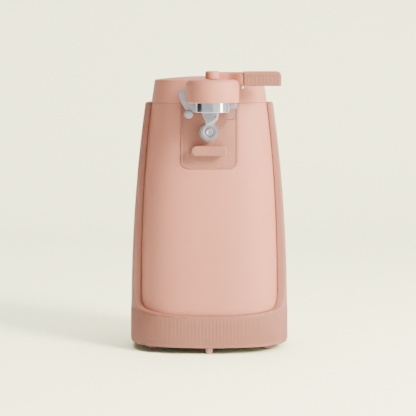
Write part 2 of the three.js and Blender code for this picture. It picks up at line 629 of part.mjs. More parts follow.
add(opener, "second_gear", compoundGear(SECOND_SHAFT, 1, 0, SECOND_PHASE), NYLON);
add(opener, "first_gear", compoundGear(FIRST_SHAFT, 2, 1, FIRST_PHASE), NYLON);

const DRIVE_FLAT = 0.6; // the shaft's two flats that key the output gear and the feed wheel
function driveShaft() {
  const shaft = rod(DRIVE_SHAFT_RADIUS, 0, DRIVE_Z, WHEEL_FRONT_Y + 0.6, GEARBOX_BACK_Y + GEARBOX_PLATE + 1.5);
  const flats = [-1, 1].map((s) => {
    const edge = DRIVE_SHAFT_RADIUS - DRIVE_FLAT;
    const [x0, x1] = s < 0 ? [-9, -edge] : [edge, 9];
    return block([x0, LAYER_Y[0] - 0.5, DRIVE_Z - 9], [x1, LAYER_Y[0] + GEAR_WIDTH + 0.5, DRIVE_Z + 9]);
  });
  return cut(shaft, ...flats);
}

function keyedBore(y0, y1) {
  const bore = rod(DRIVE_SHAFT_RADIUS + FIT, 0, DRIVE_Z, y0, y1);
  const edge = DRIVE_SHAFT_RADIUS - DRIVE_FLAT + FIT;
  return bore.intersect(block([-edge, y0, DRIVE_Z - 9], [edge, y1, DRIVE_Z + 9]));
}

const outputGear = gearAt({ x: 0, z: DRIVE_Z }, GEAR_TEETH, LAYER_Y[0], OUTPUT_PHASE);
add(opener, "drive_shaft", driveShaft(), DARK_STEEL);
const outputBore = keyedBore(LAYER_Y[0] - 1, LAYER_Y[0] + GEAR_WIDTH + 1);
add(opener, "output_gear", outputGear.subtract(outputBore), NYLON);

// ---------------------------------------------------------------- feed wheel
function feedWheel() {
  const s = new THREE.Shape();
  for (let i = 0; i < WHEEL_TEETH; i++) {
    const a = (i * 2 * Math.PI) / WHEEL_TEETH;
    const step = (2 * Math.PI) / WHEEL_TEETH;
    const root = WHEEL_RADIUS - WHEEL_TOOTH_DEPTH;
    const corners = [[root, -0.3], [WHEEL_RADIUS, -0.12], [WHEEL_RADIUS, 0.12], [root, 0.3]];
    for (const [r, share] of corners) {
      const angle = a + share * step;
      const x = r * Math.cos(angle);
      const z = r * Math.sin(angle);
      if (i === 0 && share === corners[0][1]) s.moveTo(x, z);
      else s.lineTo(x, z);
    }
  }
  s.closePath();
  const wheel = plateFromFront(s, WHEEL_FRONT_Y, WHEEL_BACK_Y).translate([0, 0, DRIVE_Z]);
  const collar = rod(4.4, 0, DRIVE_Z, WHEEL_BACK_Y - 0.5, PLATE_FRONT_Y - 1.2 - FIT);
  return join(wheel, collar).subtract(rod(DRIVE_SHAFT_RADIUS + FIT, 0, DRIVE_Z, WHEEL_FRONT_Y - 1, 0));
}
// Round cap pressed over the shaft's end, which holds the wheel on.
const WHEEL_BOSS_RADIUS = DRIVE_SHAFT_RADIUS + FIT;
add(opener, "feed_wheel", feedWheel(), STEEL);
add(opener, "wheel_screw", turnedAlongY(
  [[0, WHEEL_FRONT_Y - 0.35], [2.1, WHEEL_FRONT_Y - 0.35], [WHEEL_BOSS_RADIUS - FIT, WHEEL_FRONT_Y - 0.05],
    [WHEEL_BOSS_RADIUS - FIT, WHEEL_FRONT_Y + 0.35], [0, WHEEL_FRONT_Y + 0.35]],
  0, DRIVE_Z, 20,
), DARK_STEEL);

// ---------------------------------------------------------------- motor
const STACK_TOP_Z = MOTOR.z + ROTOR_RADIUS + 6.6;
const WINDOW_TOP_Z = MOTOR.z - ROTOR_RADIUS - 4.4;
const BAR_TOP_Z = WINDOW_TOP_Z - COIL_WINDOW;
const BAR_LOW_Z = BAR_TOP_Z - COIL_BAR;
const LEG_WIDTH = 10;
const WINDOW_HALF_WIDTH = STACK_HALF_WIDTH - LEG_WIDTH;

function motorCore() {
  const outline = roundedRectangle(-STACK_HALF_WIDTH, BAR_LOW_Z, STACK_HALF_WIDTH, STACK_TOP_Z, 3);
  const opening = block([-WINDOW_HALF_WIDTH, -60, BAR_TOP_Z], [WINDOW_HALF_WIDTH, 60, WINDOW_TOP_Z]);
  const bore = rod(ROTOR_RADIUS + AIR_GAP, MOTOR.x, MOTOR.z, -60, 60, 32);
  return cut(plateFromFront(outline, STACK_FRONT_Y, STACK_BACK_Y), opening, bore);
}

const BOBBIN_WALL = 1;
const BOBBIN_HALF = WINDOW_HALF_WIDTH - 0.6;
// Boxes around the core's bar, grown by g, from -half to half along x.
const aroundBar = (g, half) =>
  block([-half, STACK_FRONT_Y - g, BAR_LOW_Z - g], [half, STACK_BACK_Y + g, BAR_TOP_Z + g]);

function coilBobbin() {
  const flange = (s) => {
    const a = s < 0 ? -BOBBIN_HALF : BOBBIN_HALF - BOBBIN_WALL;
    const b = a + BOBBIN_WALL;
    const g = COIL_BUILD + 1;
    return block([a, STACK_FRONT_Y - g, BAR_LOW_Z - g], [b, STACK_BACK_Y + g, BAR_TOP_Z + g]);
  };
  const tube = aroundBar(FIT + BOBBIN_WALL, BOBBIN_HALF);
  return join(tube, flange(-1), flange(1)).subtract(aroundBar(FIT, BOBBIN_HALF + 1));
}

function motorCoil() {
  const half = BOBBIN_HALF - BOBBIN_WALL - FIT;
  return aroundBar(COIL_BUILD, half).subtract(aroundBar(2 * FIT + BOBBIN_WALL, half + 1));
}

const BEARING_RADIUS = 4.2;
const BEARING_LENGTH = 5;
// Pressed strap across the rotor's end, with a seat for the sleeve bearing. side is -1 in front, 1 behind.
function bearingBracket(side) {
  const face = side < 0 ? STACK_FRONT_Y - FIT : STACK_BACK_Y + FIT;
  const out = (d) => face + side * d;
  const span = (a, b) => [Math.min(out(a), out(b)), Math.max(out(a), out(b))];
  const [ya, yb] = span(2.5, 4);
  const [fa, fb] = span(0, 4);
  const strap = roundedRectangle(-STACK_HALF_WIDTH + 1, MOTOR.z - 6.5, STACK_HALF_WIDTH - 1, MOTOR.z + 6.5, 3);
  const bridge = plateFromFront(strap, ya, yb);
  const feet = [-1, 1].map((s) => {
    const x0 = s < 0 ? 1 - STACK_HALF_WIDTH : STACK_HALF_WIDTH - 6;
    const x1 = x0 + 5;
    return block([x0, fa, MOTOR.z - 5], [x1, fb, MOTOR.z + 5]);
  });
  return join(bridge, ...feet).subtract(rod(BEARING_RADIUS + FIT, MOTOR.x, MOTOR.z, -60, 60));
}

function sleeveBearing(side) {
  const centre = side < 0 ? STACK_FRONT_Y - FIT - 3.25 : STACK_BACK_Y + FIT + 3.25;
  const bore = MOTOR_SHAFT_RADIUS + RUNNING;
  const h = BEARING_LENGTH / 2;
  const y0 = centre - h;
  const y1 = centre + h;
  const section = [[bore, y0], [BEARING_RADIUS, y0], [BEARING_RADIUS, y1], [bore, y1], [bore, y0]];
  return turnedAlongY(section, MOTOR.x, MOTOR.z, 20);
}

add(opener, "motor_core", motorCore(), DARK_STEEL);
add(opener, "coil_bobbin", coilBobbin(), BLACK);
add(opener, "motor_coil", motorCoil(), COPPER);
add(opener, "motor_front_bracket", bearingBracket(-1), STEEL);
add(opener, "motor_rear_bracket", bearingBracket(1), STEEL);
add(opener, "front_bearing", sleeveBearing(-1), BRONZE);
add(opener, "rear_bearing", sleeveBearing(1), BRONZE);

const FAN_FRONT_Y = STACK_BACK_Y + 8;
const FAN_WIDTH = 5;
const FAN_RADIUS = 17;
function rotorShaft() {
  const shaftEnd = FAN_FRONT_Y + FAN_WIDTH + 0.8;
  const shaft = rod(MOTOR_SHAFT_RADIUS, MOTOR.x, MOTOR.z, LAYER_Y[2] - 0.5, shaftEnd, 20);
  return shaft.add(gearAt(MOTOR, PINION_TEETH, LAYER_Y[2], ROTOR_PHASE, GEAR_WIDTH + 1));
}
function rotorCore() {
  const y0 = STACK_FRONT_Y + 0.6;
  const y1 = STACK_BACK_Y - 0.6;
  return rod(ROTOR_RADIUS, MOTOR.x, MOTOR.z, y0, y1, 32).subtract(
    rod(MOTOR_SHAFT_RADIUS + FIT, MOTOR.x, MOTOR.z, y0 - 1, y1 + 1, 20),
  );
}
function coolingFan() {
  const fanEnd = FAN_FRONT_Y + FAN_WIDTH;
  const blades = Array.from({ length: 8 }, () => block([3.5, FAN_FRONT_Y, -0.6], [FAN_RADIUS, fanEnd, 0.6]));
  const placed = blades.map((b, i) => b.rotate([0, i * 45, 0]).translate([MOTOR.x, 0, MOTOR.z]));
  const disc = rod(FAN_RADIUS - 1, MOTOR.x, MOTOR.z, FAN_FRONT_Y, FAN_FRONT_Y + 1, 32);
  const hub = rod(4.5, MOTOR.x, MOTOR.z, FAN_FRONT_Y, FAN_FRONT_Y + FAN_WIDTH);
  return join(hub, disc, ...placed).subtract(rod(MOTOR_SHAFT_RADIUS + FIT, MOTOR.x, MOTOR.z, -60, 60, 20));
}
add(opener, "rotor_shaft", rotorShaft(), DARK_STEEL);
add(opener, "rotor_core", rotorCore(), STEEL);
add(opener, "cooling_fan", coolingFan(), BLACK);

// ---------------------------------------------------------------- switch and its cam
const CAM_BACK_Y = PLATE_BACK_Y + 7;
const CAM_THICKNESS = 3;
const SWITCH = { x0: PIVOT_X + 8.5, x1: PIVOT_X + 28.5, z1: PIVOT_Z - 5.5, height: 8.5, depth: 5 };
const SWITCH_Y0 = CAM_BACK_Y - CAM_THICKNESS - 1;
const BUTTON_X = PIVOT_X + 12;
const BUTTON_STAND = 1.6;

function switchBody() {
  const { x0, x1, z1, height, depth } = SWITCH;
  const body = block([x0, SWITCH_Y0, z1 - height], [x1, SWITCH_Y0 + depth, z1]);
  return body.subtract(block([BUTTON_X - 1.3, SWITCH_Y0 + 1, z1 - 3], [BUTTON_X + 1.3, SWITCH_Y0 + 4, z1 + 1]));
}
const switchButton = block(
  [BUTTON_X - 1, SWITCH_Y0 + 1.3, SWITCH.z1 - 1.6],
  [BUTTON_X + 1, SWITCH_Y0 + 3.7, SWITCH.z1 + BUTTON_STAND],
);
add(opener, "switch_body", switchBody(), BLACK);
add(opener, "switch_button", switchButton, NYLON);

// Arm on the lever shaft's inner end: it comes down on the button as the lever is pressed.
function switchCam() {
  const y0 = CAM_BACK_Y - CAM_THICKNESS;
  const low = SWITCH.z1 + BUTTON_STAND + 0.9;
  const arm = block([PIVOT_X, y0, low], [BUTTON_X + 1.5, CAM_BACK_Y, low + 2.4]);
  const hub = rod(LEVER_SHAFT_RADIUS + 2.2, PIVOT_X, PIVOT_Z, y0, CAM_BACK_Y);
  return join(hub, arm).subtract(rod(LEVER_SHAFT_RADIUS + FIT, PIVOT_X, PIVOT_Z, y0 - 1, CAM_BACK_Y + 1));
}
add(opener, "switch_cam", switchCam(), BLACK);

// ---------------------------------------------------------------- cutting lever
function leverShaft() {
  const front = ARM_FRONT_Y + 2;
  const back = CAM_BACK_Y + 1.2;
  return rod(LEVER_SHAFT_RADIUS, PIVOT_X, PIVOT_Z, front, back);
}

// Arm plate behind the cap, the neck towards the grip, and the round cap over the magnet, moulded in one.
function leverBody() {
  const armLow = CAP_BOTTOM_Z - 1.2;
  const armTop = CAP_TOP_Z - 2;
  const arm = roundedRectangle(CAP_X - CAP_RADIUS + 1.5, armLow, CAP_X + CAP_RADIUS - 3, armTop, 5);
  const neckTop = DRIVE_Z + GRIP_TOP_RISE - 0.6;
  const neckLow = neckTop - GRIP_HEIGHT + 1.4;
  const neckFrontY = ARM_BACK_Y - GRIP_DEPTH + 1.5;
  const neck = new THREE.Shape();
  neck.moveTo(ARM_BACK_Y, neckLow).lineTo(ARM_BACK_Y, neckTop - 1).lineTo(ARM_BACK_Y - 1, neckTop);
  neck.lineTo(neckFrontY + 3.5, neckTop).lineTo(neckFrontY, neckTop - 2.6).lineTo(neckFrontY, neckLow);
  neck.closePath();
  const [z0, z1, r, e] = [CAP_BOTTOM_Z, CAP_TOP_Z, CAP_RADIUS, CAP_EDGE];
  const edge = steps(0, Math.PI / 2, 4).map((t) => [r - e + e * Math.cos(t), z1 - e + e * Math.sin(t)]);
  const cap = turned([[0, z0], [r - 0.8, z0], [r, z0 + 0.8], ...edge, [0, z1]], CAP_X, MAGNET_Y, 40);
  const roof = MAGNET_BOTTOM_Z + MAGNET_CUP_HEIGHT + MAGNET_LIFT + 0.5;
  const socket = column(MAGNET_RADIUS + 2 * FIT, CAP_X, MAGNET_Y, z0 - 1, roof, 32);
  const postHole = column(POST_RADIUS + RUNNING, CAP_X, MAGNET_Y, z0, z1 + 1, 20);
  const armPlate = plateFromFront(arm, ARM_FRONT_Y, ARM_BACK_Y);
  const bodies = join(armPlate, plateFromSide(neck, CAP_X + 2, GRIP_START_X), cap);
  const tongueHole = gripTongue(FIT);
  const shaftHole = rod(LEVER_SHAFT_RADIUS + FIT, PIVOT_X, PIVOT_Z, ARM_FRONT_Y + 2 - FIT, 0);
  return cut(bodies, socket, postHole, tongueHole, shaftHole);
}

// Tongue on the grip that slides into the neck.
function gripTongue(grow) {
  const z = DRIVE_Z + GRIP_TOP_RISE - GRIP_HEIGHT / 2;
  const y = ARM_BACK_Y - GRIP_DEPTH / 2;
  const half = 2 + grow;
  return block([GRIP_START_X - 7 - grow, y - half, z - half], [GRIP_START_X + 1, y + half, z + half]);
}

function leverGrip() {
  const top = DRIVE_Z + GRIP_TOP_RISE;
  const low = top - GRIP_HEIGHT;
  const front = ARM_BACK_Y - GRIP_DEPTH;
  const s = new THREE.Shape();
  s.moveTo(ARM_BACK_Y, low).lineTo(ARM_BACK_Y, top - 1.2).lineTo(ARM_BACK_Y - 1.2, top);
  s.lineTo(front + 3.5, top).lineTo(front, top - 2.8).lineTo(front, low + 0.8).lineTo(front + 0.8, low);
  s.closePath();
  const start = GRIP_START_X + SEAM;
  const end = GRIP_START_X + GRIP_LENGTH;
  const bar = plateFromSide(s, start, end);
  const plan = new THREE.Shape(); // rounded outer end, drawn in the front view
  const r = 3;
  plan.moveTo(start - 1, low - 1).lineTo(end, low - 1).lineTo(end, top - r);
  plan.absarc(end - r, top - r, r, 0, Math.PI / 2, false);
  plan.lineTo(start - 1, top + 0.01);
  plan.closePath();
  const trimmed = bar.intersect(plateFromFront(plan, front - 5, ARM_BACK_Y + 5));
  return trimmed.add(gripTongue(0));
}

// Bright dowel at the neck's lower corner that locks the grip's tongue.
const PIN_RADIUS = 1.25;
const PIN_PLACE = { x: GRIP_START_X - 0.6, z: DRIVE_Z + 31.1 };
const gripPin = () => {
  const front = ARM_BACK_Y - GRIP_DEPTH - 1.2;
  const back = ARM_BACK_Y - 2;
  const r = PIN_RADIUS;
  const dome = steps(0, Math.PI / 2, 4).map((t) => [r * Math.sin(t), front + r * (1 - Math.cos(t))]);
  return turnedAlongY([...dome, [r, back], [0, back]], PIN_PLACE.x, PIN_PLACE.z, 16);
};
const pinHole = () =>
  rod(PIN_RADIUS + FIT, PIN_PLACE.x, PIN_PLACE.z, ARM_BACK_Y - GRIP_DEPTH - 3, ARM_BACK_Y - 2 + FIT, 16);

add(opener, "lever_body", leverBody().subtract(pinHole()), ROSE);
add(opener, "lever_grip", leverGrip().subtract(pinHole()), ROSE);
add(opener, "grip_pin", gripPin(), BRIGHT_STEEL);
add(opener, "lever_shaft", leverShaft(), DARK_STEEL);

// Pressed-steel bracket between the lever and the drive plate. Its left lobe carries the guide pin.
const GUIDE = { x: -14.25, z: DRIVE_Z + 12.2, r: 3 };
const BRACKET_LOW_Z = DRIVE_Z + 15;
function cutterBracket() {
  const z = (rise) => DRIVE_Z + rise;
  const s = new THREE.Shape();
  s.moveTo(-21.1, z(29.4)).lineTo(-21, z(25.3));
  s.quadraticCurveTo(-20.2, z(20), GUIDE.x - 2.3, z(15.4));
  s.lineTo(GUIDE.x - 2.1, GUIDE.z).absarc(GUIDE.x, GUIDE.z, 2.1, Math.PI, 0, false);
  s.lineTo(GUIDE.x + 2.6, BRACKET_LOW_Z - 1.4).lineTo(-9, BRACKET_LOW_Z - 1.4).lineTo(-8, BRACKET_LOW_Z);
  s.lineTo(14.4, BRACKET_LOW_Z).lineTo(14.4, z(16)).lineTo(18.8, z(16));
  s.lineTo(18.8, z(24.8)).lineTo(12, z(29.4));
  s.closePath();
  return cut(
    plateFromFront(s, BRACKET_FRONT_Y, BRACKET_BACK_Y),
    rod(LEVER_SHAFT_RADIUS + FIT, PIVOT_X, PIVOT_Z, -80, 0),
    rod(1.2 + FIT, GUIDE.x, GUIDE.z, -80, 0, 16),
    rod(BLADE_SCREW.r + FIT, BLADE_SCREW.x, BLADE_SCREW.z, -80, 0, 16),
  );
}

// Flat-headed pin that the can's rim slides under.
function guidePin() {
  const y0 = WHEEL_FRONT_Y - 0.9;
  const y1 = WHEEL_FRONT_Y + 1;
  const y2 = BRACKET_FRONT_Y - FIT;
  const y3 = BRACKET_BACK_Y + 0.6;
  const head = [[0, y0], [GUIDE.r - 0.7, y0], [GUIDE.r, y0 + 0.7], [GUIDE.r, y1]];
  const stem = [[1.9, y1], [1.9, y2], [1.2, y2], [1.2, y3], [0, y3]];
  return turnedAlongY([...head, ...stem], GUIDE.x, GUIDE.z, 16);
}

// Thin bent strip on the right that holds the rim down.
function rimGuide() {
  const z = (rise) => DRIVE_Z + rise;
  const thick = 0.8;
  const r = 3.4;
  const bend = 12.4;
  const s = new THREE.Shape();
  s.moveTo(18.8, z(18.3)).lineTo(18.8, z(bend)).absarc(18.8 - r, z(bend), r, 0, -Math.PI / 2, true);
  s.lineTo(11.6, z(bend - 3)).lineTo(11.6, z(bend - 3 - thick)).lineTo(18.8 - r, z(bend - r - thick));
  s.absarc(18.8 - r, z(bend), r + thick, -Math.PI / 2, 0, false).lineTo(18.8 + thick, z(18.3));
  s.closePath();
  const blade = plateFromFront(s, WHEEL_FRONT_Y, BRACKET_FRONT_Y - FIT);
  const tab = block([14.8, BRACKET_FRONT_Y - FIT - 1.2, z(16.2)], [19.2, BRACKET_FRONT_Y - FIT, z(19.2)]);
  return join(blade, tab);
}

// Plough-shaped blade that pierces the lid just inside the rim. A foot behind it reaches the bracket.
const BLADE_SCREW = { x: 0.8, z: DRIVE_Z + 17, r: 1.3 };
function cuttingBlade() {
  const z = (rise) => DRIVE_Z + rise;
  const top = MAGNET_BOTTOM_Z + 5;
  const s = new THREE.Shape();
  const edge = [[-5.1, 13.8], [-2.6, 6.3], [-1.3, 3.8], [1.6, 3.9], [3.8, 6.4], [6.3, 9.8], [6.6, 13.8]];
  s.moveTo(-5.1, top);
  for (const [x, rise] of edge) s.lineTo(x, z(rise));
  s.lineTo(6.6, top);
  s.closePath();
  const front = plateFromFront(s, BLADE_FRONT_Y, BLADE_BACK_Y);
  const foot = block([-3.4, BLADE_BACK_Y - 0.2, BRACKET_LOW_Z], [5, BRACKET_FRONT_Y - FIT, top]);
  const hole = rod(BLADE_SCREW.r + FIT, BLADE_SCREW.x, BLADE_SCREW.z, BLADE_BACK_Y + 0.2, 0, 16);
  return join(front, foot).subtract(hole);
}
function bladeScrew() {
  const r = BLADE_SCREW.r;
  const y0 = BLADE_BACK_Y + 0.6;
  const y1 = BRACKET_BACK_Y + FIT;
  const y2 = BRACKET_BACK_Y + 1.5;
  const section = [[0, y0], [r, y0], [r, y1], [r + 1.2, y1], [r + 1.2, y2], [0, y2]];
  return turnedAlongY(section, BLADE_SCREW.x, BLADE_SCREW.z, 16);
}

add(opener, "cutter_bracket", cutterBracket(), STEEL);
add(opener, "guide_pin", guidePin(), STEEL);
add(opener, "rim_guide", rimGuide(), STEEL);
add(opener, "cutting_blade", cuttingBlade(), STEEL);
add(opener, "blade_screw", bladeScrew(), DARK_STEEL);

// ---------------------------------------------------------------- floating lid magnet
const CUP_WALL = 1.4;
const CUP_TOP_Z = MAGNET_BOTTOM_Z + MAGNET_CUP_HEIGHT;
// Steel cup, open downwards, hung on the post.
function magnetCup() {
  const [z0, z1, r] = [MAGNET_BOTTOM_Z, CUP_TOP_Z, MAGNET_RADIUS];
  return turned(
    [[r - CUP_WALL, z0], [r - 0.4, z0], [r, z0 + 0.4], [r, z1 - 0.8], [r - 0.8, z1], [POST_RADIUS + FIT, z1],
      [POST_RADIUS + FIT, z1 - CUP_WALL], [r - CUP_WALL, z1 - CUP_WALL], [r - CUP_WALL, z0]],
    CAP_X, MAGNET_Y, 32,
  );
}
function magnetDisc() {
  const bore = POST_RADIUS + FIT;
  const r = MAGNET_RADIUS - CUP_WALL - FIT;
  const z0 = MAGNET_BOTTOM_Z + 0.3;
  const z1 = CUP_TOP_Z - CUP_WALL - FIT;
  return turned([[bore, z0], [r, z0], [r, z1], [bore, z1], [bore, z0]], CAP_X, MAGNET_Y, 20);
}
// Knob and post in one piece. A shoulder under the cup's roof keeps it from pulling out.
function magnetKnob() {
  const z0 = MAGNET_BOTTOM_Z + 0.6;
  const k0 = CAP_TOP_Z + FIT;
  const k1 = k0 + KNOB_HEIGHT;
  const r = KNOB_RADIUS;
  const e = 1.4;
  const edge = steps(0, Math.PI / 2, 3).map((t) => [r - e + e * Math.cos(t), k1 - e + e * Math.sin(t)]);
  const stem = [[0, z0], [POST_RADIUS, z0], [POST_RADIUS, k0]];
  return turned([...stem, [r - 0.2, k0], [r, k0 + 0.4], ...edge, [0, k1]], CAP_X, MAGNET_Y, 24);
}
add(opener, "magnet_cup", magnetCup(), BRIGHT_STEEL);
add(opener, "magnet_disc", magnetDisc(), FERRITE);
add(opener, "magnet_knob", magnetKnob(), ROSE);

// ---------------------------------------------------------------- the part's frame
// The plan box runs from the cap's front to the casing's back, and its middle is the origin.
const FRONT_Y = MAGNET_Y - CAP_RADIUS;
const BACK_Y = casingSize(CASING_LOW_Z).back;
opener.position.y = -(FRONT_Y + BACK_Y) / 2;

export default opener;
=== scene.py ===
import json

import bmesh
import bpy
import numpy as np
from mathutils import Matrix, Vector


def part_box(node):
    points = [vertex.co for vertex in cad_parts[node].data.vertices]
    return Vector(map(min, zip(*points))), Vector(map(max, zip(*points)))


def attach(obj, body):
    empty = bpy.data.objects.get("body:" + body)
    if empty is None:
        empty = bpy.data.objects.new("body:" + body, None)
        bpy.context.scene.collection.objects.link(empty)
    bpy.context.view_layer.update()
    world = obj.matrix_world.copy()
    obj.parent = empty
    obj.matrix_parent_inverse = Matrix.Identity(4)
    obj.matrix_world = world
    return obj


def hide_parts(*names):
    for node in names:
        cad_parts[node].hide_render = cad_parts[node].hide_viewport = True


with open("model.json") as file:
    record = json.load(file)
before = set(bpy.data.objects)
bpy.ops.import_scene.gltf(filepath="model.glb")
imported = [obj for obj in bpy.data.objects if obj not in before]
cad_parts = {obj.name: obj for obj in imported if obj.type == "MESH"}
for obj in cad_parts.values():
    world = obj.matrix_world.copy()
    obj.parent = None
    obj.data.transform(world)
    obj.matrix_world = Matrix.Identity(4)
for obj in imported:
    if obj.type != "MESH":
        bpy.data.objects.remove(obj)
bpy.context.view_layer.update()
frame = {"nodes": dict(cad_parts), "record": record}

scene = bpy.context.scene

# ---- camera
# A long lens a little above the opener, level with its head, looking at the middle of the body.
BACK_DEPTH = 43  # the casing's back behind the body's own middle, in mm
PLAN_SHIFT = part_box("casing")[1].y * 1000 - BACK_DEPTH  # the body's middle in the part's frame, in mm
X, Y, Z = 0, 1, 2


def cad_span(node, axis):
    """Lower and upper limit of a CAD node along an axis, in body millimetres."""
    low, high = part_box(node)
    shift = PLAN_SHIFT if axis == Y else 0
    return low[axis] * 1000 - shift, high[axis] * 1000 - shift


camera_data = bpy.data.cameras.new("camera")
camera_data.sensor_width = 36
camera_data.lens = 137.5
camera = bpy.data.objects.new("camera", camera_data)
scene.collection.objects.link(camera)
camera.location = (0, -1.150 + PLAN_SHIFT / 1000, 0.205)
look_at = Vector((-0.00087, PLAN_SHIFT / 1000, 0.1005))
camera.rotation_euler = (look_at - camera.location).to_track_quat("-Z", "Y").to_euler()
scene.camera = camera


# ---- floor and studio light
# A pale sweep that rises behind the opener, a large softbox to the upper right and weak fill from the left.
def add_mesh(name, points, faces, sharp_angle=38):
    """Mesh object from points in metres. Doubles are merged and faces turned outwards."""
    mesh = bpy.data.meshes.new(name)
    mesh.from_pydata(points, [], faces)
    work = bmesh.new()
    work.from_mesh(mesh)
    bmesh.ops.remove_doubles(work, verts=work.verts, dist=2e-6)
    bmesh.ops.dissolve_degenerate(work, edges=work.edges, dist=1e-6)
    bmesh.ops.recalc_face_normals(work, faces=work.faces)
    work.to_mesh(mesh)
    work.free()
    mesh.polygons.foreach_set("use_smooth", np.full(len(mesh.polygons), True))
    mesh.set_sharp_from_angle(angle=np.radians(sharp_angle))
    obj = bpy.data.objects.new(name, mesh)
    scene.collection.objects.link(obj)
    return obj


def grid_faces(rows, columns, around, through):
    """Quads between neighbours of a grid. around joins the last column to the first, through the rows."""
    r, c = np.meshgrid(
        np.arange(rows if through else rows - 1), np.arange(columns if around else columns - 1), indexing="ij"
    )
    r2, c2 = (r + 1) % rows, (c + 1) % columns
    quads = np.stack([r * columns + c, r * columns + c2, r2 * columns + c2, r2 * columns + c], -1)
    return quads.reshape(-1, 4).tolist()


def capped_faces(rows, columns):
    """Quads of a grid that runs round, its first and last row each closed by one polygon."""
    last = (rows - 1) * columns
    return [*grid_faces(rows, columns, True, False), list(range(columns)), list(range(last, rows * columns))]


def add_node(tree, kind, sockets=None, **settings):
    """Shader node. settings are its properties, sockets its inputs: each a value or another node's output."""
    made = tree.nodes.new("ShaderNode" + kind)
    for key, value in settings.items():
        setattr(made, key, value)
    for key, value in (sockets or {}).items():
        if isinstance(value, bpy.types.NodeSocket):
            tree.links.new(value, made.inputs[key])
        else:
            made.inputs[key].default_value = value
    return made


SWEEP_RADIUS = 0.45
SWEEP_START_Y = 0.75
FLOOR_FRONT_Y = -0.9
FLOOR_HALF_WIDTH = 1.5
WALL_TOP_Z = 2.4
angle = np.linspace(0, np.pi / 2, 24)
wall_y = SWEEP_START_Y + SWEEP_RADIUS
sweep_y = np.concatenate([[FLOOR_FRONT_Y], SWEEP_START_Y + SWEEP_RADIUS * np.sin(angle), [wall_y]])
sweep_z = np.concatenate([[0.0], SWEEP_RADIUS * (1 - np.cos(angle)), [WALL_TOP_Z]])
across = np.array([-FLOOR_HALF_WIDTH, FLOOR_HALF_WIDTH])
flat = np.zeros((26, 2))
sweep = np.stack([flat + across, flat + sweep_y[:, None], flat + sweep_z[:, None]], -1)
floor = add_mesh("floor", sweep.reshape(-1, 3), grid_faces(26, 2, False, False))
floor_paint = bpy.data.materials.new("studio_floor")
floor_paint.use_nodes = True
floor_tree = floor_paint.node_tree
floor_shader = floor_tree.nodes["Principled BSDF"]
direct = add_node(floor_tree, "LightPath").outputs["Is Camera Ray"]
floor_colours = {0: direct, 6: (0.50, 0.50, 0.50, 1), 7: (0.82, 0.82, 0.50, 1)}
tinted = add_node(floor_tree, "Mix", floor_colours, data_type="RGBA")
floor_tree.links.new(tinted.outputs[2], floor_shader.inputs["Base Color"])
floor_shader.inputs["Roughness"].default_value = 0.9
floor_shader.inputs["Specular IOR Level"].default_value = 0.1
floor.data.materials.append(floor_paint)


floor_only = bpy.data.collections.new("floor_only")
floor_only.objects.link(floor)


def add_softbox(name, place, aim, width, height, power, only_floor=False, colour=(1, 1, 1)):
    """Rectangular area light at place, in metres, facing aim. only_floor keeps its light to the floor."""
    lamp = bpy.data.lights.new(name, "AREA")
    lamp.shape = "RECTANGLE"
    lamp.size, lamp.size_y = width, height
    lamp.energy = power
    lamp.color = colour
    obj = bpy.data.objects.new(name, lamp)
    scene.collection.objects.link(obj)
    obj.location = place
    obj.rotation_euler = (Vector(aim) - Vector(place)).to_track_quat("-Z", "Y").to_euler()
    if only_floor:
        obj.light_linking.receiver_collection = floor_only


WARM = (1, 0.95, 0.88)
add_softbox("key_light", (0.88, -0.76, 0.74), (0, 0, 0.10), 0.40, 0.50, 50, False, WARM)
add_softbox("side_light", (0.95, -0.50, 0.22), (0, 0, 0.11), 0.25, 0.60, 9, False, WARM)
add_softbox("top_light", (0.0, 0.25, 1.75), (0, 0.25, 0), 1.7, 1.7, 54, True)
add_softbox("back_light", (0.0, 0.0, 1.9), (0, 1.1, 0.5), 1.8, 0.9, 40, True)

# The room: bright to the right of the front, dimmer to the left of it, dark behind on the left.
world = bpy.data.worlds.new("studio")
scene.world = world
world.use_nodes = True
room = world.node_tree
room_light = room.nodes["Background"]
way = add_node(room, "SeparateXYZ", {0: add_node(room, "TexCoord").outputs["Generated"]})
ahead_y = add_node(room, "Math", {0: way.outputs["Y"], 1: -1.0}, operation="MULTIPLY")
compass = add_node(room, "Math", {0: way.outputs["X"], 1: ahead_y.outputs[0]}, operation="ARCTAN2")
share_round = add_node(room, "MapRange", {0: compass.outputs[0], 1: -np.pi, 2: np.pi})
bands = add_node(room, "ValToRGB", {0: share_round.outputs[0]})
band_marks = (
    (0.0, 0.25), (0.16, 0.04), (0.27, 0.045), (0.305, 0.68), (0.49, 0.70), (0.525, 1.25), (0.80, 1.25),
    (0.85, 0.4), (1.0, 0.3),
)
ramp_marks = bands.color_ramp.elements
for k, (mark, level) in enumerate(band_marks):
    dot = ramp_marks[k] if k < 2 else ramp_marks.new(mark)
    dot.position = mark
    dot.color = (level, 1.01 * level, 1.05 * level, 1)
seen = add_node(room, "Mix", {
    0: add_node(room, "LightPath").outputs["Is Camera Ray"], 6: bands.outputs["Color"], 7: (3.9, 3.85, 2.3, 1),
}, data_type="RGBA")
room.links.new(seen.outputs[2], room_light.inputs["Color"])
room_light.inputs["Strength"].default_value = 1.0


# ---- casing
# One injection-moulded shell, flared towards the foot, open at the front for the panel and at the shoulder
# for the head. A rolled bead runs along the lip and up both front edges. Vent slots sit behind the motor.
SHOULDER_Z = 177.5
CASING_LOW_Z = 4.8
CASING_WALL = 2.5
RIM_THICKNESS = 3
SEAM = 0.4
LIP_Z = 27.6
LIP_SLOPE = 0.22
RIM_LOW_Y = -20
RIM_TOP_Y = -14
LIP_CORNER = 9
BEND_TOP_Z = 45


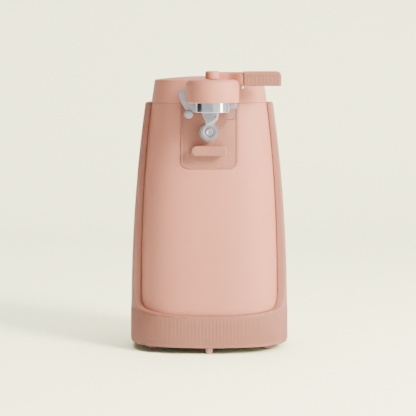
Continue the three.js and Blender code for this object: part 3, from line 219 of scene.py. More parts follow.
def casing_size(z):
    """Half width, front depth, back depth and exponent: full at the foot, drawn in by (z / shoulder)^2.35."""
    f = (np.maximum(z, 0) / SHOULDER_Z) ** 2.35
    return 56.9 - 11 * f, 42.7 - 3 * f, 42.7 - 6 * f, 2.6


def panel_size(z):
    """The same for the panel and head, drawn in by (z / shoulder)^2.6."""
    f = (np.clip(z, 0, 193.6) / SHOULDER_Z) ** 2.6
    return 50.9 - 9.4 * f, 39.4 - 2.6 * f, 37.5 - 5.5 * f, 2.9


def on_loft(size, turn, z, out=0.0):
    """x = w sgn(c)|c|^(2/n), y = -d sgn(s)|s|^(2/n), with c, s the cosine and sine of turn: 0 at the right,
    a quarter turn in front. w and d are the size at z, grown by out."""
    turn, z, out = np.broadcast_arrays(np.asarray(turn, float), np.asarray(z, float), np.asarray(out, float))
    w, front, back, n = size(z)
    c, s = np.cos(turn), np.sin(turn)
    depth = np.where(s > 0, front, back) + out
    x = (w + out) * np.sign(c) * np.abs(c) ** (2 / n)
    y = -depth * np.sign(s) * np.abs(s) ** (2 / n)
    return np.stack([x, y, z], -1)


def turn_at_y(size, y, z, out=0.0):
    """Turn on the right-hand side at which the loft passes y."""
    w, front, back, n = size(z)
    depth = np.where(y < 0, front, back) + out
    return -np.sign(y) * np.arcsin(np.minimum(1, np.abs(y) / depth) ** (n / 2))


def turn_at_x(size, x, z):
    """Turn on the right-hand front at which the loft passes x."""
    w, front, back, n = size(z)
    return np.arccos(np.minimum(1, np.abs(x) / w) ** (n / 2))


def even_turns(size, z, start, end, count):
    """Turns from start to end at equal steps of length round the section at z."""
    fine = np.linspace(start, end, 8000)
    p = on_loft(size, fine, z)
    run = np.append(0, np.cumsum(np.linalg.norm(np.diff(p, axis=0), axis=1)))
    return np.interp(np.linspace(0, run[-1], count), run, fine)


def curve(a, b, c, count):
    """Quadratic curve from a to c that bends towards b, without its last point."""
    t = np.linspace(0, 1, count, endpoint=False)[:, None]
    return (1 - t) ** 2 * np.array(a) + 2 * t * (1 - t) * np.array(b) + t**2 * np.array(c)


def ramp(value, low, high):
    """Smooth step from 0 at low to 1 at high."""
    t = np.clip((value - low) / (high - low), 0, 1)
    return t * t * (3 - 2 * t)


def unit(v):
    """Vectors scaled to length 1."""
    return v / np.maximum(1e-9, np.linalg.norm(v, axis=-1, keepdims=True))


def fill(turn_a, z_a, turn_b, z_b, count):
    """Straight blend of turn and height from curve a to curve b, ends included: rows of (turn, z)."""
    t = np.linspace(0, 1, count)[:, None]
    return turn_a + (turn_b - turn_a) * t, z_a + (z_b - z_a) * t


def both_sides(half):
    """Whole ring of columns from its right half, which runs from the front middle to the back middle."""
    mirrored = half[:, -2:0:-1] * np.array([-1, 1, 1])
    return np.concatenate([half, mirrored], 1)


def place(points):
    """Body millimetres as metres in the part's frame."""
    return (np.asarray(points, float).reshape(-1, 3) + np.array([0, PLAN_SHIFT, 0])) / 1000


def put_on(obj, body, finish):
    """Gives a piece its finish and the body that it rides on."""
    obj.data.materials.append(finishes[finish])
    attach(obj, body)
    return obj


def grid_piece(name, grid, body, slot, around=True, through=False, ends=False, capped=False, sharp_angle=38):
    """Piece from a grid of points in body millimetres. ends closes the first and last column, capped the rows."""
    rows, columns = grid.shape[:2]
    faces = capped_faces(rows, columns) if capped else grid_faces(rows, columns, around, through)
    if ends:
        faces.append([r * columns for r in range(rows)])
        faces.append([r * columns + columns - 1 for r in range(rows)])
    return put_on(add_mesh(name, place(grid), faces, sharp_angle=sharp_angle), body, slot)


def add_group(name, inputs, outputs):
    """Node group with a vector socket for each input given as a tuple and a value socket for each number."""
    group = bpy.data.node_groups.new(name, "ShaderNodeTree")
    for label, start in inputs.items():
        kind = "NodeSocketVector" if isinstance(start, tuple) else "NodeSocketFloat"
        group.interface.new_socket(label, in_out="INPUT", socket_type=kind).default_value = start
    for label in outputs:
        group.interface.new_socket(label, in_out="OUTPUT", socket_type="NodeSocketFloat")
    return group, group.nodes.new("NodeGroupInput").outputs, group.nodes.new("NodeGroupOutput").inputs


def mix_colour(tree, share, a, b):
    """Colour between a and b."""
    return add_node(tree, "Mix", {0: share, 6: a, 7: b}, data_type="RGBA").outputs[2]


def between(tree, value, low, high, from_low=0.0, from_high=1.0):
    """value mapped from one range to another, held inside it."""
    return add_node(tree, "MapRange", {0: value, 1: from_low, 2: from_high, 3: low, 4: high}).outputs[0]


def times(tree, a, b, operation="MULTIPLY"):
    """Two values multiplied, or joined by another operation."""
    return add_node(tree, "Math", {0: a, 1: b}, operation=operation).outputs[0]


def noise(tree, where, scale, detail, **more):
    """Noise texture's value."""
    return add_node(tree, "TexNoise", {"Vector": where, "Scale": scale, "Detail": detail, **more}).outputs[0]


# Skin of a moulding: spark-eroded grain, faint flow marks in the colour, and patches of more and less gloss.
moulded_skin, skin_in, skin_out = add_group(
    "moulded_skin", {"Vector": (0, 0, 0), "Grain": 2600.0}, ("Height", "Tone", "Gloss"),
)
at = skin_in["Vector"]
grain = noise(moulded_skin, at, skin_in["Grain"], 2.0, Roughness=0.6)
pits = add_node(moulded_skin, "TexVoronoi", {"Vector": at, "Scale": skin_in["Grain"]})
pit_depth = times(moulded_skin, pits.outputs["Distance"], 0.5)
moulded_skin.links.new(times(moulded_skin, grain, pit_depth, "ADD"), skin_out["Height"])
slow = times(moulded_skin, noise(moulded_skin, at, 19.0, 3.0, Distortion=0.8), 0.7)
fine = times(moulded_skin, noise(moulded_skin, at, 620.0, 2.0), 0.3)
moulded_skin.links.new(times(moulded_skin, slow, fine, "ADD"), skin_out["Tone"])
moulded_skin.links.new(noise(moulded_skin, at, 55.0, 5.0, Distortion=1.2), skin_out["Gloss"])

# Wear on raised edges, and where it is made strong a painted highlight along them: where the rounded-off normal
# leaves the true one, broken up by noise.
edge_wear_and_highlight, edge_mark_in, edge_mark_out = add_group("edge_wear_and_highlight", {"Vector": (0, 0, 0), "Radius": 0.0006}, ("WornAndLit",))
rounded = add_node(edge_wear_and_highlight, "Bevel", {"Radius": edge_mark_in["Radius"]}, samples=4)
true_normal = add_node(edge_wear_and_highlight, "NewGeometry").outputs["Normal"]
agree = add_node(edge_wear_and_highlight, "VectorMath", {0: rounded.outputs[0], 1: true_normal}, operation="DOT_PRODUCT")
on_edge = between(edge_wear_and_highlight, agree.outputs["Value"], 1.0, 0.0, 0.80, 0.995)
patchy = between(edge_wear_and_highlight, noise(edge_wear_and_highlight, edge_mark_in["Vector"], 260.0, 4.0), 0.25, 1.0, 0.35, 0.6)
edge_wear_and_highlight.links.new(times(edge_wear_and_highlight, on_edge, patchy), edge_mark_out["WornAndLit"])


def moulded_plastic(name, colour, shade, worn_and_lit_colour, roughness, grain_scale, depth, wear_and_highlight=0.3):
    """Moulded plastic: colour drifting towards shade, paler smoother edges, and grain of a depth in metres. The
    paler edges stand for wear, and where they are made strong, for a painted highlight along lips and beads.
    """
    material = bpy.data.materials.new(name)
    material.use_nodes = True
    tree = material.node_tree
    shader = tree.nodes["Principled BSDF"]
    where = add_node(tree, "TexCoord").outputs["Object"]
    skin = add_node(tree, "Group", node_tree=moulded_skin)
    tree.links.new(where, skin.inputs["Vector"])
    skin.inputs["Grain"].default_value = grain_scale
    worn_and_lit = add_node(tree, "Group", node_tree=edge_wear_and_highlight)
    tree.links.new(where, worn_and_lit.inputs["Vector"])
    shader.inputs["Specular IOR Level"].default_value = 0.32
    tone = between(tree, skin.outputs["Tone"], 0, 1, 0.3, 0.7)
    body_colour = mix_colour(tree, tone, (*shade, 1), (*colour, 1))
    # Pale edges: wear, and where the share is high a painted highlight.
    edge_share = times(tree, worn_and_lit.outputs["WornAndLit"], wear_and_highlight)
    tree.links.new(mix_colour(tree, edge_share, body_colour, (*worn_and_lit_colour, 1)), shader.inputs["Base Color"])
    matt = between(tree, skin.outputs["Gloss"], roughness - 0.05, roughness + 0.06, 0.3, 0.7)
    polish = times(tree, worn_and_lit.outputs["WornAndLit"], 0.08)
    tree.links.new(times(tree, matt, polish, "SUBTRACT"), shader.inputs["Roughness"])
    bump = add_node(tree, "Bump", {"Height": skin.outputs["Height"], "Strength": 0.6, "Distance": depth})
    tree.links.new(bump.outputs[0], shader.inputs["Normal"])
    return material


finishes = {}
finishes["rose_plastic"] = moulded_plastic(
    "rose_plastic", (0.56, 0.213, 0.128), (0.52, 0.194, 0.115), (0.76, 0.32, 0.21), 0.54, 2600, 0.00006,
)
# Darker copy of the rose plastic: painted shade on the casing, which stands less lit than the panel. Its strong
# pale edge is a painted highlight along the lip, the beads and the lower edge.
finishes["rose_painted_shade_casing"] = moulded_plastic(
    "rose_painted_shade_casing", (0.33, 0.138, 0.085), (0.30, 0.123, 0.075), (0.74, 0.34, 0.24), 0.56, 1900, 0.00009, 0.8,
)


def lip_z(y):
    """Height of the lip above the band: it rises evenly towards the back."""
    return LIP_Z + LIP_SLOPE * (y + BACK_DEPTH)


def rim_y(z):
    """Front edge of the side wall: it leans back evenly towards the shoulder."""
    return RIM_LOW_Y + (RIM_TOP_Y - RIM_LOW_Y) * (z - LIP_Z) / (SHOULDER_Z - LIP_Z)


# The opening's edge, from the middle of the lip round to the middle of the back, as turn, y and z.
corner_y = rim_y(lip_z(RIM_LOW_Y))
corner_z = lip_z(corner_y)
turn_start = turn_at_y(casing_size, corner_y - LIP_CORNER, lip_z(corner_y - LIP_CORNER))
lip_turn = even_turns(casing_size, LIP_Z, np.pi / 2, turn_start, 64)[:-1]
lip_y = on_loft(casing_size, lip_turn, LIP_Z)[:, 1]
sweep_up = curve(
    (corner_y - LIP_CORNER, lip_z(corner_y - LIP_CORNER)), (corner_y, corner_z),
    (rim_y(corner_z + LIP_CORNER), corner_z + LIP_CORNER), 22,
)
SHOULDER_CORNER = 2
side_z = np.linspace(corner_z + LIP_CORNER, SHOULDER_Z - SHOULDER_CORNER, 50)[:-1]
side_edge = np.stack([rim_y(side_z), side_z], -1)
shoulder_turn_in = curve(
    (rim_y(SHOULDER_Z - SHOULDER_CORNER), SHOULDER_Z - SHOULDER_CORNER), (RIM_TOP_Y, SHOULDER_Z),
    (RIM_TOP_Y + SHOULDER_CORNER, SHOULDER_Z), 7,
)
bent = np.concatenate([sweep_up, side_edge, shoulder_turn_in])
bent_turn = turn_at_y(casing_size, bent[:, 0], bent[:, 1])
top_start = turn_at_y(casing_size, RIM_TOP_Y + SHOULDER_CORNER, SHOULDER_Z)
top_turn = even_turns(casing_size, SHOULDER_Z, top_start, -np.pi / 2, 70)
top_y = on_loft(casing_size, top_turn, SHOULDER_Z)[:, 1]
edge_turn = np.concatenate([lip_turn, bent_turn, top_turn])
edge_y = np.concatenate([lip_y, bent[:, 0], top_y])
edge_z = np.concatenate([lip_z(lip_y), bent[:, 1], np.full(len(top_turn), SHOULDER_Z)])
on_lip, on_bend = len(lip_turn), len(bent)
last_bent = on_lip + on_bend

# Which way the shell lies from its edge, in the side view.
slope_y, slope_z = np.gradient(edge_y), np.gradient(edge_z)
into = unit(np.stack([slope_z, -slope_y], -1))
into[:on_lip] = unit(np.array([LIP_SLOPE, -1.0]))
into[last_bent:] = (0, -1)
into_y = into[:, 0] * np.where(np.arange(len(edge_y)) < on_lip, ramp(edge_y, -38, -28), 1)


def beside_edge(size, turn, y, z, step, out=0.0):
    """Curve on the loft a step into the shell from the edge: its turn and height."""
    shift = turn_at_y(size, y + step * into_y, z, out) - turn_at_y(size, y, z, out)
    return turn + shift, z + step * into[:, 1]


# The flange's inner edge stands one seam off the panel: at the same turn along the lip, at the same y beyond.
_, casing_front, _, casing_power = casing_size(0)
_, panel_front, _, panel_power = panel_size(0)
inner_y = -(panel_front + SEAM) * np.minimum(1, np.abs(edge_y) / casing_front) ** (casing_power / panel_power)
run = np.append(0, np.cumsum(np.hypot(np.diff(edge_y[:last_bent]), np.diff(edge_z[:last_bent]))))
ahead = np.maximum(0, inner_y[:last_bent] - edge_y[:last_bent])
along = run + ahead * np.where(edge_z[:last_bent] < BEND_TOP_Z, 1, 0)
flange_y = np.interp(along, run, edge_y[:last_bent])
flange_z = np.interp(along, run, edge_z[:last_bent])
by_y = turn_at_y(panel_size, flange_y, flange_z, SEAM)
mix = ramp(edge_y[:last_bent], -34, -22)
flange_turn = edge_turn[:last_bent] * (1 - mix) + by_y * mix
drift = turn_at_y(panel_size, RIM_TOP_Y + SHOULDER_CORNER, SHOULDER_Z, SEAM) - top_start
fade = 1 - ramp(top_start - top_turn, 0, 0.9)
flange_turn = np.concatenate([flange_turn, top_turn + drift * fade])
flange_z = np.concatenate([flange_z, np.full(len(top_turn), SHOULDER_Z)])
flange_y = on_loft(panel_size, flange_turn, flange_z, SEAM)[:, 1]

# Section across the edge: how far into the shell, how proud of its face, and how far in along the flange.
BEAD = np.array([
    (3.2, 0, 0), (2.2, 0, 0), (1.75, -0.02, 0), (1.62, -0.18, 0), (1.42, -0.28, 0), (1.24, -0.18, 0),
    (1.14, 0.12, 0), (1.0, 0.32, 0), (0.72, 0.42, 0), (0.38, 0.38, 0), (0.12, 0.15, 0), (0, 0, 0.3),
])
PLAIN = np.array([
    (3.2, 0, 0), (2.4, 0, 0), (1.6, 0, 0), (1.3, 0, 0), (1.14, 0, 0.01), (0.95, 0, 0.05),
    (0.75, 0, 0.13), (0.55, 0, 0.25), (0.36, 0, 0.42), (0.2, 0, 0.64), (0.07, 0, 0.95), (0, 0, 1.3),
])
beaded = 1 - ramp(edge_z, 150, SHOULDER_Z - 0.5)
beaded[last_bent:] = 0
edge_points = on_loft(casing_size, edge_turn, edge_z)
flange_points = on_loft(panel_size, flange_turn, flange_z, SEAM)
inward = unit(flange_points - edge_points)
flange_width = np.linalg.norm(flange_points - edge_points, axis=-1)


def proud_direction(turn, z):
    """Outward direction of the casing in plan: the gradient of its superellipse."""
    w, front, back, n = casing_size(z)
    p = on_loft(casing_size, turn, z)
    depth = np.where(p[..., 1] < 0, front, back)
    x = np.sign(p[..., 0]) * np.abs(p[..., 0] / w) ** (n - 1) / w
    y = np.sign(p[..., 1]) * np.abs(p[..., 1] / depth) ** (n - 1) / depth
    return unit(np.stack([x, y, 0 * x], -1))


edge_rows = []
for bead, plain in zip(BEAD, PLAIN):
    step, proud, inset = (bead[:, None] * beaded + plain[:, None] * (1 - beaded))
    turn, z = beside_edge(casing_size, edge_turn, edge_y, edge_z, step)
    row = on_loft(casing_size, turn, z) + proud[:, None] * proud_direction(turn, z) + inset[:, None] * inward
    edge_rows.append(row)
flange_rows = [edge_points + inward * (flange_width * share)[:, None] for share in (0.45, 0.65)]
for step, back_off in ((0, 0.75), (0.05, 0.4), (0.18, 0.14), (0.42, 0.02), (0.8, 0), (RIM_THICKNESS, 0)):
    turn, z = beside_edge(panel_size, flange_turn, flange_y, flange_z, step, SEAM)
    flange_rows.append(on_loft(panel_size, turn, z, SEAM) - inward * back_off)

foot_turn = edge_turn.copy()
side_from = on_lip + len(sweep_up)
side_start, side_end = edge_turn[side_from], np.radians(-34)
side_turn = even_turns(casing_size, CASING_LOW_Z, side_start, side_end, last_bent - side_from + 1)
foot_turn[side_from:last_bent] = side_turn[:-1]
foot_turn[last_bent:] = even_turns(casing_size, CASING_LOW_Z, side_end, -np.pi / 2, len(top_turn))
first_turn, first_z = beside_edge(casing_size, edge_turn, edge_y, edge_z, 3.6)
inner_turn, inner_z = beside_edge(casing_size, edge_turn, edge_y, edge_z, RIM_THICKNESS)
outer_rows = on_loft(casing_size, *fill(foot_turn, CASING_LOW_Z + 1.4, first_turn, first_z, 22))
inner_rows = on_loft(casing_size, *fill(inner_turn, inner_z, foot_turn, CASING_LOW_Z, 10), -CASING_WALL)
foot_rows = [
    on_loft(casing_size, foot_turn, CASING_LOW_Z + rise, -inset)
    for rise, inset in ((0, 1.3), (0.03, 0.85), (0.2, 0.4), (0.5, 0.12), (0.95, 0.0))
]
casing_half = np.concatenate([outer_rows, edge_rows, flange_rows, inner_rows, foot_rows])
casing = grid_piece("casing_shell", both_sides(casing_half), "housing", "rose_painted_shade_casing", through=True)
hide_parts("casing")


def soften(corners, radii, steps=5, closed=True):
    """Polyline whose corners become quadratic curves, each starting and ending its radius away."""
    p = np.asarray(corners, float)
    r = np.broadcast_to(np.asarray(radii, float), len(p)).copy()
    if not closed:
        r[[0, -1]] = 0
    before, after = np.roll(p, 1, 0) - p, np.roll(p, -1, 0) - p
    a = p + unit(before) * r[:, None]
    b = p + unit(after) * r[:, None]
    t = np.linspace(0, 1, steps)[None, :, None]
    return ((1 - t) ** 2 * a[:, None] + 2 * t * (1 - t) * p[:, None] + t**2 * b[:, None]).reshape(-1, 2)


def plate_grid(outline, y_front, y_back, bevel=0.3, back_bevel=0.1):
    """Rows round a flat plate drawn in (x, z): back face, back bevel, side, front bevel and front face."""
    p = np.asarray(outline, float)
    p = p[np.linalg.norm(p - np.roll(p, 1, 0), axis=1) > 1e-4]
    tangent = unit(np.roll(p, -1, 0) - np.roll(p, 1, 0))
    inwards = np.stack([-tangent[:, 1], tangent[:, 0]], -1)
    area = np.sum(p[:, 0] * np.roll(p[:, 1], -1) - np.roll(p[:, 0], -1) * p[:, 1])
    inwards *= np.sign(area)
    rows = []
    for inset, y in (
        (back_bevel + 0.04, y_back), (back_bevel, y_back), (0, y_back - back_bevel), (0, y_front + bevel),
        (0.3 * bevel, y_front + 0.3 * bevel), (bevel, y_front), (bevel + 0.06, y_front),
    ):
        q = p + inwards * inset
        rows.append(np.stack([q[:, 0], np.full(len(q), y), q[:, 1]], -1))
    return np.stack(rows)


def plate_piece(name, outline, y_front, y_back, body, slot, bevel=0.3):
    """Flat plate with a bevelled edge, its two faces closed by one polygon each."""
    grid = plate_grid(outline, y_front, y_back, bevel)
    return grid_piece(name, grid, body, slot, capped=True, sharp_angle=32)


def cut_away(obj, cutters):
    """Cuts the cutters out of obj for good and removes them."""
    for cutter in cutters:
        step = obj.modifiers.new("cut", "BOOLEAN")
        step.object = cutter
        step.solver = "EXACT"
    bpy.context.view_layer.update()
    shape = obj.evaluated_get(bpy.context.evaluated_depsgraph_get())
    mesh = bpy.data.meshes.new_from_object(shape)
    old = obj.data
    obj.modifiers.clear()
    obj.data = mesh
    bpy.data.meshes.remove(old)
    for cutter in cutters:
        bpy.data.objects.remove(cutter)


def cutter_prism(outline, y_front, y_back):
    """Closed prism drawn in (x, z), for cutting."""
    grid = plate_grid(outline, y_front, y_back, 0.01, 0.01)
    return add_mesh("cutter", place(grid), capped_faces(*grid.shape[:2]))


MOTOR_Z = np.mean(cad_span("rotor_core", Z))
GLAND_Z = np.mean(cad_span("cord_gland", Z))
GLAND_HOLE_RADIUS = 5.9
VENT_PITCH, VENT_HALF_WIDTH, VENT_LOW, VENT_HEIGHT = 6, 1.2, MOTOR_Z + 6, 22
vent_cutters = []
for i in range(-3, 4):
    x = i * VENT_PITCH
    left, right, top = x - VENT_HALF_WIDTH, x + VENT_HALF_WIDTH, VENT_LOW + VENT_HEIGHT
    slot_corners = [(left, VENT_LOW), (right, VENT_LOW), (right, top), (left, top)]
    vent_cutters.append(cutter_prism(soften(slot_corners, 1.19, 6), 20, 60))
round_turn = np.linspace(0, 2 * np.pi, 48, endpoint=False)
gland_ring = GLAND_HOLE_RADIUS * np.stack([np.cos(round_turn), np.sin(round_turn)], -1) + (0, GLAND_Z)
cut_away(casing, vent_cutters + [cutter_prism(gland_ring, 20, 60)])

# ---- ribbed belt of the base
# Fine upright ribs moulded round the foot of the casing, from just above its lower edge to below the bead.
# Darker copy of the rose plastic for the ribbed belt and grip: painted shade between the ribs.
finishes["rose_painted_shade_ribbed"] = moulded_plastic(
    "rose_painted_shade_ribbed", (0.31, 0.129, 0.080), (0.285, 0.117, 0.071), (0.52, 0.24, 0.17), 0.58, 1900, 0.00007, 0.12,
)
RIBS_A_SIDE = 168
POINTS_A_RIB = 6
RIB_HEIGHT = 0.26
BELT_MIDDLE_Z = 18
belt_turn = even_turns(casing_size, BELT_MIDDLE_Z, np.pi / 2, -np.pi / 2, RIBS_A_SIDE * POINTS_A_RIB + 1)
belt_y = on_loft(casing_size, belt_turn, BELT_MIDDLE_Z)[:, 1]
belt_top = lip_z(np.minimum(belt_y, -22)) - 1.8
wave = np.abs(np.sin(np.pi * np.arange(len(belt_turn)) / POINTS_A_RIB)) ** 0.7
rib = RIB_HEIGHT * wave
belt_half = np.stack([
    on_loft(casing_size, belt_turn, z, out) for z, out in (
        (6.8, -0.7), (6.8, 0.0), (7.4, rib), (14, rib), (0.5 * (14 + belt_top), rib), (belt_top - 0.5, rib),
        (belt_top, 0.0), (belt_top, -0.7), (14, -0.7),
    )
])
belt = grid_piece("base_belt_ribs", both_sides(belt_half), "housing", "rose_painted_shade_ribbed", through=True)
cut_away(belt, [cutter_prism(gland_ring, 20, 60)])

# ---- front panel
# A thin convex moulding that drops in behind the lip, with a square notch at the top for the drive plate.
PANEL_WALL = 2.2
PANEL_FOOT_Z = 14
PANEL_TOP_Z = SHOULDER_Z - 0.05
DRIVE_Z = 157.7
NOTCH_X, NOTCH_LOW_Z, NOTCH_TOP_Z, NOTCH_RADIUS = 20.32, 131.18, 186.62, 6.12
PANEL_BACK_Y = -8
FAN_X = 34
SIDE_COLUMNS = 60
EDGE_BAND = 1.4
small = 0.6
bow = np.linspace(-np.pi / 2, 0, 13)[:-1]
flat_end = NOTCH_X - NOTCH_RADIUS
notch_flat = np.linspace(0, flat_end, 19)[:-1]
notch = np.concatenate([
    np.stack([notch_flat, np.full(18, NOTCH_LOW_Z)], -1),
    np.stack([
        flat_end + NOTCH_RADIUS * np.cos(bow), NOTCH_LOW_Z + NOTCH_RADIUS + NOTCH_RADIUS * np.sin(bow),
    ], -1),
    np.stack([np.full(27, NOTCH_X), np.linspace(NOTCH_LOW_Z + NOTCH_RADIUS, PANEL_TOP_Z - small, 28)[:-1]], -1),
    curve((NOTCH_X, PANEL_TOP_Z - small), (NOTCH_X, PANEL_TOP_Z), (NOTCH_X + small, PANEL_TOP_Z), 4),
])
notch_into = np.concatenate([
    np.tile((0, -1), (18, 1)), np.stack([np.cos(bow), np.sin(bow)], -1), np.tile((1, 0), (27, 1)),
    unit(np.linspace((1, 0), (0, -1), 5)[:-1]),
])
top_from = turn_at_x(panel_size, NOTCH_X + small, PANEL_TOP_Z)
top_to = turn_at_y(panel_size, PANEL_BACK_Y, PANEL_TOP_Z)
side_turn = even_turns(panel_size, PANEL_TOP_Z, top_from, top_to, SIDE_COLUMNS)
panel_x = np.concatenate([notch[:, 0], np.zeros(SIDE_COLUMNS)])
panel_z = np.concatenate([notch[:, 1], np.full(SIDE_COLUMNS, PANEL_TOP_Z)])
panel_turn = np.concatenate([turn_at_x(panel_size, notch[:, 0], notch[:, 1]), side_turn])
panel_into = np.concatenate([notch_into, np.tile((0, -1), (SIDE_COLUMNS, 1))])
BEFORE_NOTCH_SIDE = 30  # columns of the notch's level edge and rounded corner


def beside_notch(x, turn, z, direction, step):
    """Curve on the panel's loft a step from the notch and seam, square at their corner: its turn and height."""
    shift = turn_at_x(panel_size, x + step * direction[:, 0], z) - turn_at_x(panel_size, x, z)
    new_turn = turn + np.where(direction[:, 0] == 0, 0, shift)
    new_z = z + step * direction[:, 1]
    over = 1 if z[0] > SHOULDER_Z else -1
    beyond = np.arange(len(z)) >= BEFORE_NOTCH_SIDE
    new_z = np.where(beyond, over * np.maximum(over * new_z, over * (z[-1] + over * step)), new_z)
    corner_turn = turn_at_x(panel_size, NOTCH_X + step, new_z)
    return np.where(beyond, np.minimum(new_turn, corner_turn), new_turn), new_z


foot_x = np.concatenate([notch_flat, np.linspace(flat_end, FAN_X, 44)[:-1]])
foot_from = turn_at_x(panel_size, FAN_X, PANEL_FOOT_Z)
foot_to = turn_at_y(panel_size, PANEL_BACK_Y, PANEL_FOOT_Z)
panel_foot = np.concatenate([
    turn_at_x(panel_size, foot_x, PANEL_FOOT_Z),
    even_turns(panel_size, PANEL_FOOT_Z, foot_from, foot_to, SIDE_COLUMNS),
])
rows = []
start_turn, start_z = beside_notch(panel_x, panel_turn, panel_z, panel_into, EDGE_BAND)
rows.extend(on_loft(panel_size, *fill(panel_foot, PANEL_FOOT_Z, start_turn, start_z, 44)))
EDGE_ROUND = ((0.6, 0), (0.3, 0.02), (0.13, 0.07), (0.04, 0.17), (0, 0.35))
for step, depth in EDGE_ROUND:
    rows.append(on_loft(panel_size, *beside_notch(panel_x, panel_turn, panel_z, panel_into, step), -depth))
rows.extend(on_loft(panel_size, *fill(panel_turn, panel_z, panel_foot, PANEL_FOOT_Z, 16), -PANEL_WALL))
right = np.stack(rows)
left = right[:, :0:-1] * np.array([-1, 1, 1])
panel_grid = np.concatenate([left, right], 1)
panel = grid_piece("front_panel_skin", panel_grid, "housing", "rose_plastic", False, True, True)
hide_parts("front_panel")

# ---- head cover
# The same moulding carried on above the shoulder, closed by a shallow dome, notched for the plate's top.
HEAD_LOW_Z = SHOULDER_Z + 0.05
HEAD_EDGE_Z = 193.6
DOME_RISE = 2.6
HEAD_EDGE_ROUND = 0.9
bow = np.linspace(np.pi / 2, 0, 13)[:-1]
BACK_COLUMNS = 120
CROWN_FAN_X = 19
arch = np.concatenate([
    np.stack([notch_flat, np.full(18, NOTCH_TOP_Z)], -1),
    np.stack([
        flat_end + NOTCH_RADIUS * np.cos(bow), NOTCH_TOP_Z - NOTCH_RADIUS + NOTCH_RADIUS * np.sin(bow),
    ], -1),
    np.stack([np.full(3, NOTCH_X), np.linspace(NOTCH_TOP_Z - NOTCH_RADIUS, HEAD_LOW_Z + small, 4)[:-1]], -1),
    curve((NOTCH_X, HEAD_LOW_Z + small), (NOTCH_X, HEAD_LOW_Z), (NOTCH_X + small, HEAD_LOW_Z), 4),
])
arch_into = np.concatenate([
    np.tile((0, 1), (18, 1)), np.stack([np.cos(bow), np.sin(bow)], -1), np.tile((1, 0), (3, 1)),
    unit(np.linspace((1, 0), (0, 1), 5)[:-1]),
])
back_from = turn_at_x(panel_size, NOTCH_X + small, HEAD_LOW_Z)
round_back = even_turns(panel_size, HEAD_LOW_Z, back_from, -np.pi / 2, BACK_COLUMNS)
head_x = np.concatenate([arch[:, 0], np.zeros(BACK_COLUMNS)])
head_z = np.concatenate([arch[:, 1], np.full(BACK_COLUMNS, HEAD_LOW_Z)])
head_turn = np.concatenate([turn_at_x(panel_size, arch[:, 0], arch[:, 1]), round_back])
head_into = np.concatenate([arch_into, np.tile((0, 1), (BACK_COLUMNS, 1))])
crown_x = np.linspace(0, CROWN_FAN_X, len(arch) + 1)
crown_fan = turn_at_x(panel_size, crown_x, HEAD_EDGE_Z)
crown_back = even_turns(panel_size, HEAD_EDGE_Z, crown_fan[-1], -np.pi / 2, BACK_COLUMNS)
crown_turn = np.concatenate([crown_fan[:-1], crown_back])


def dome(turn, share, out):
    """Top of the head: the edge's section shrunk to a share of itself, raised by rise * (1 - share^2)."""
    edge = on_loft(panel_size, turn, HEAD_EDGE_Z, out)
    x, y = edge[:, 0] * share, edge[:, 1] * share
    return np.stack([x, y, HEAD_EDGE_Z + DOME_RISE * (1 - share**2) + out + 0 * x], -1)


rows = [on_loft(panel_size, head_turn, head_z, -PANEL_WALL)]
for step, depth in EDGE_ROUND[::-1]:
    rows.append(on_loft(panel_size, *beside_notch(head_x, head_turn, head_z, head_into, step), -depth))
start_turn, start_z = beside_notch(head_x, head_turn, head_z, head_into, EDGE_BAND)
rows.extend(on_loft(panel_size, *fill(start_turn, start_z, crown_turn, HEAD_EDGE_Z - HEAD_EDGE_ROUND, 9)))
low = rows[-1]
high = dome(crown_turn, 0.975, 0)
corner = on_loft(panel_size, crown_turn, HEAD_EDGE_Z + 0.1)
for t in (0.2, 0.4, 0.6, 0.8):
    rows.append((1 - t) ** 2 * low + 2 * t * (1 - t) * corner + t * t * high)
rows.extend(dome(crown_turn, share, 0) for share in (0.975, 0.9, 0.8, 0.7, 0.58, 0.45, 0.32, 0.18, 0.08, 0.0))
rows.extend(dome(crown_turn, share, -PANEL_WALL) for share in (0.0, 0.4, 0.8, 0.94))
head_half = np.stack(rows)
head = grid_piece("head_shell", both_sides(head_half), "housing", "rose_plastic", through=True)
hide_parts("head_cover")

# ---- drive plate
# A separate moulding let into the panel and head behind the mechanism, with a raised border all round.
PLATE_HALF_WIDTH, PLATE_LOW_Z, PLATE_TOP_Z, PLATE_CORNER = 20.2, 131.3, 186.5, 6.0
# Darker copy of the rose plastic for the drive plate and can rest: painted shade under the cap and around the
# mechanism.
finishes["rose_painted_shade_inset"] = moulded_plastic(
    "rose_painted_shade_inset", (0.36, 0.148, 0.092), (0.33, 0.133, 0.082), (0.60, 0.28, 0.19), 0.54, 2300, 0.00007,
)


def panel_front_y(x, z, proud=0.0):
    """Front of the panel's loft at (x, z), moved out by proud."""
    w, front, back, n = panel_size(z)
    return -(front + proud) * np.maximum(0, 1 - np.abs(x / (w + proud)) ** n) ** (1 / n)


def plate_ring(inset):
    """Rounded rectangle in (x, z), drawn in by inset, with evenly shared points on its sides and corners."""
    r = max(PLATE_CORNER - inset, 0.35)
    half, low, high = PLATE_HALF_WIDTH - inset, PLATE_LOW_Z + inset, PLATE_TOP_Z - inset
    parts = []
    centres = ((half - r, low + r), (half - r, high - r), (-half + r, high - r), (-half + r, low + r))
    for k, (cx, cz) in enumerate(centres):
        a = np.linspace(-np.pi / 2, 0, 11) + k * np.pi / 2
        arc = np.stack([cx + r * np.cos(a), cz + r * np.sin(a)], -1)
        nx, nz = centres[(k + 1) % 4]
        first = np.array([nx + r * np.cos(a[-1]), nz + r * np.sin(a[-1])])
        count = 30 if k % 2 == 0 else 14
        t = np.linspace(0, 1, count + 2)[1:-1, None]
        parts.extend([arc, arc[-1] + (first - arc[-1]) * t])
    return np.concatenate(parts)


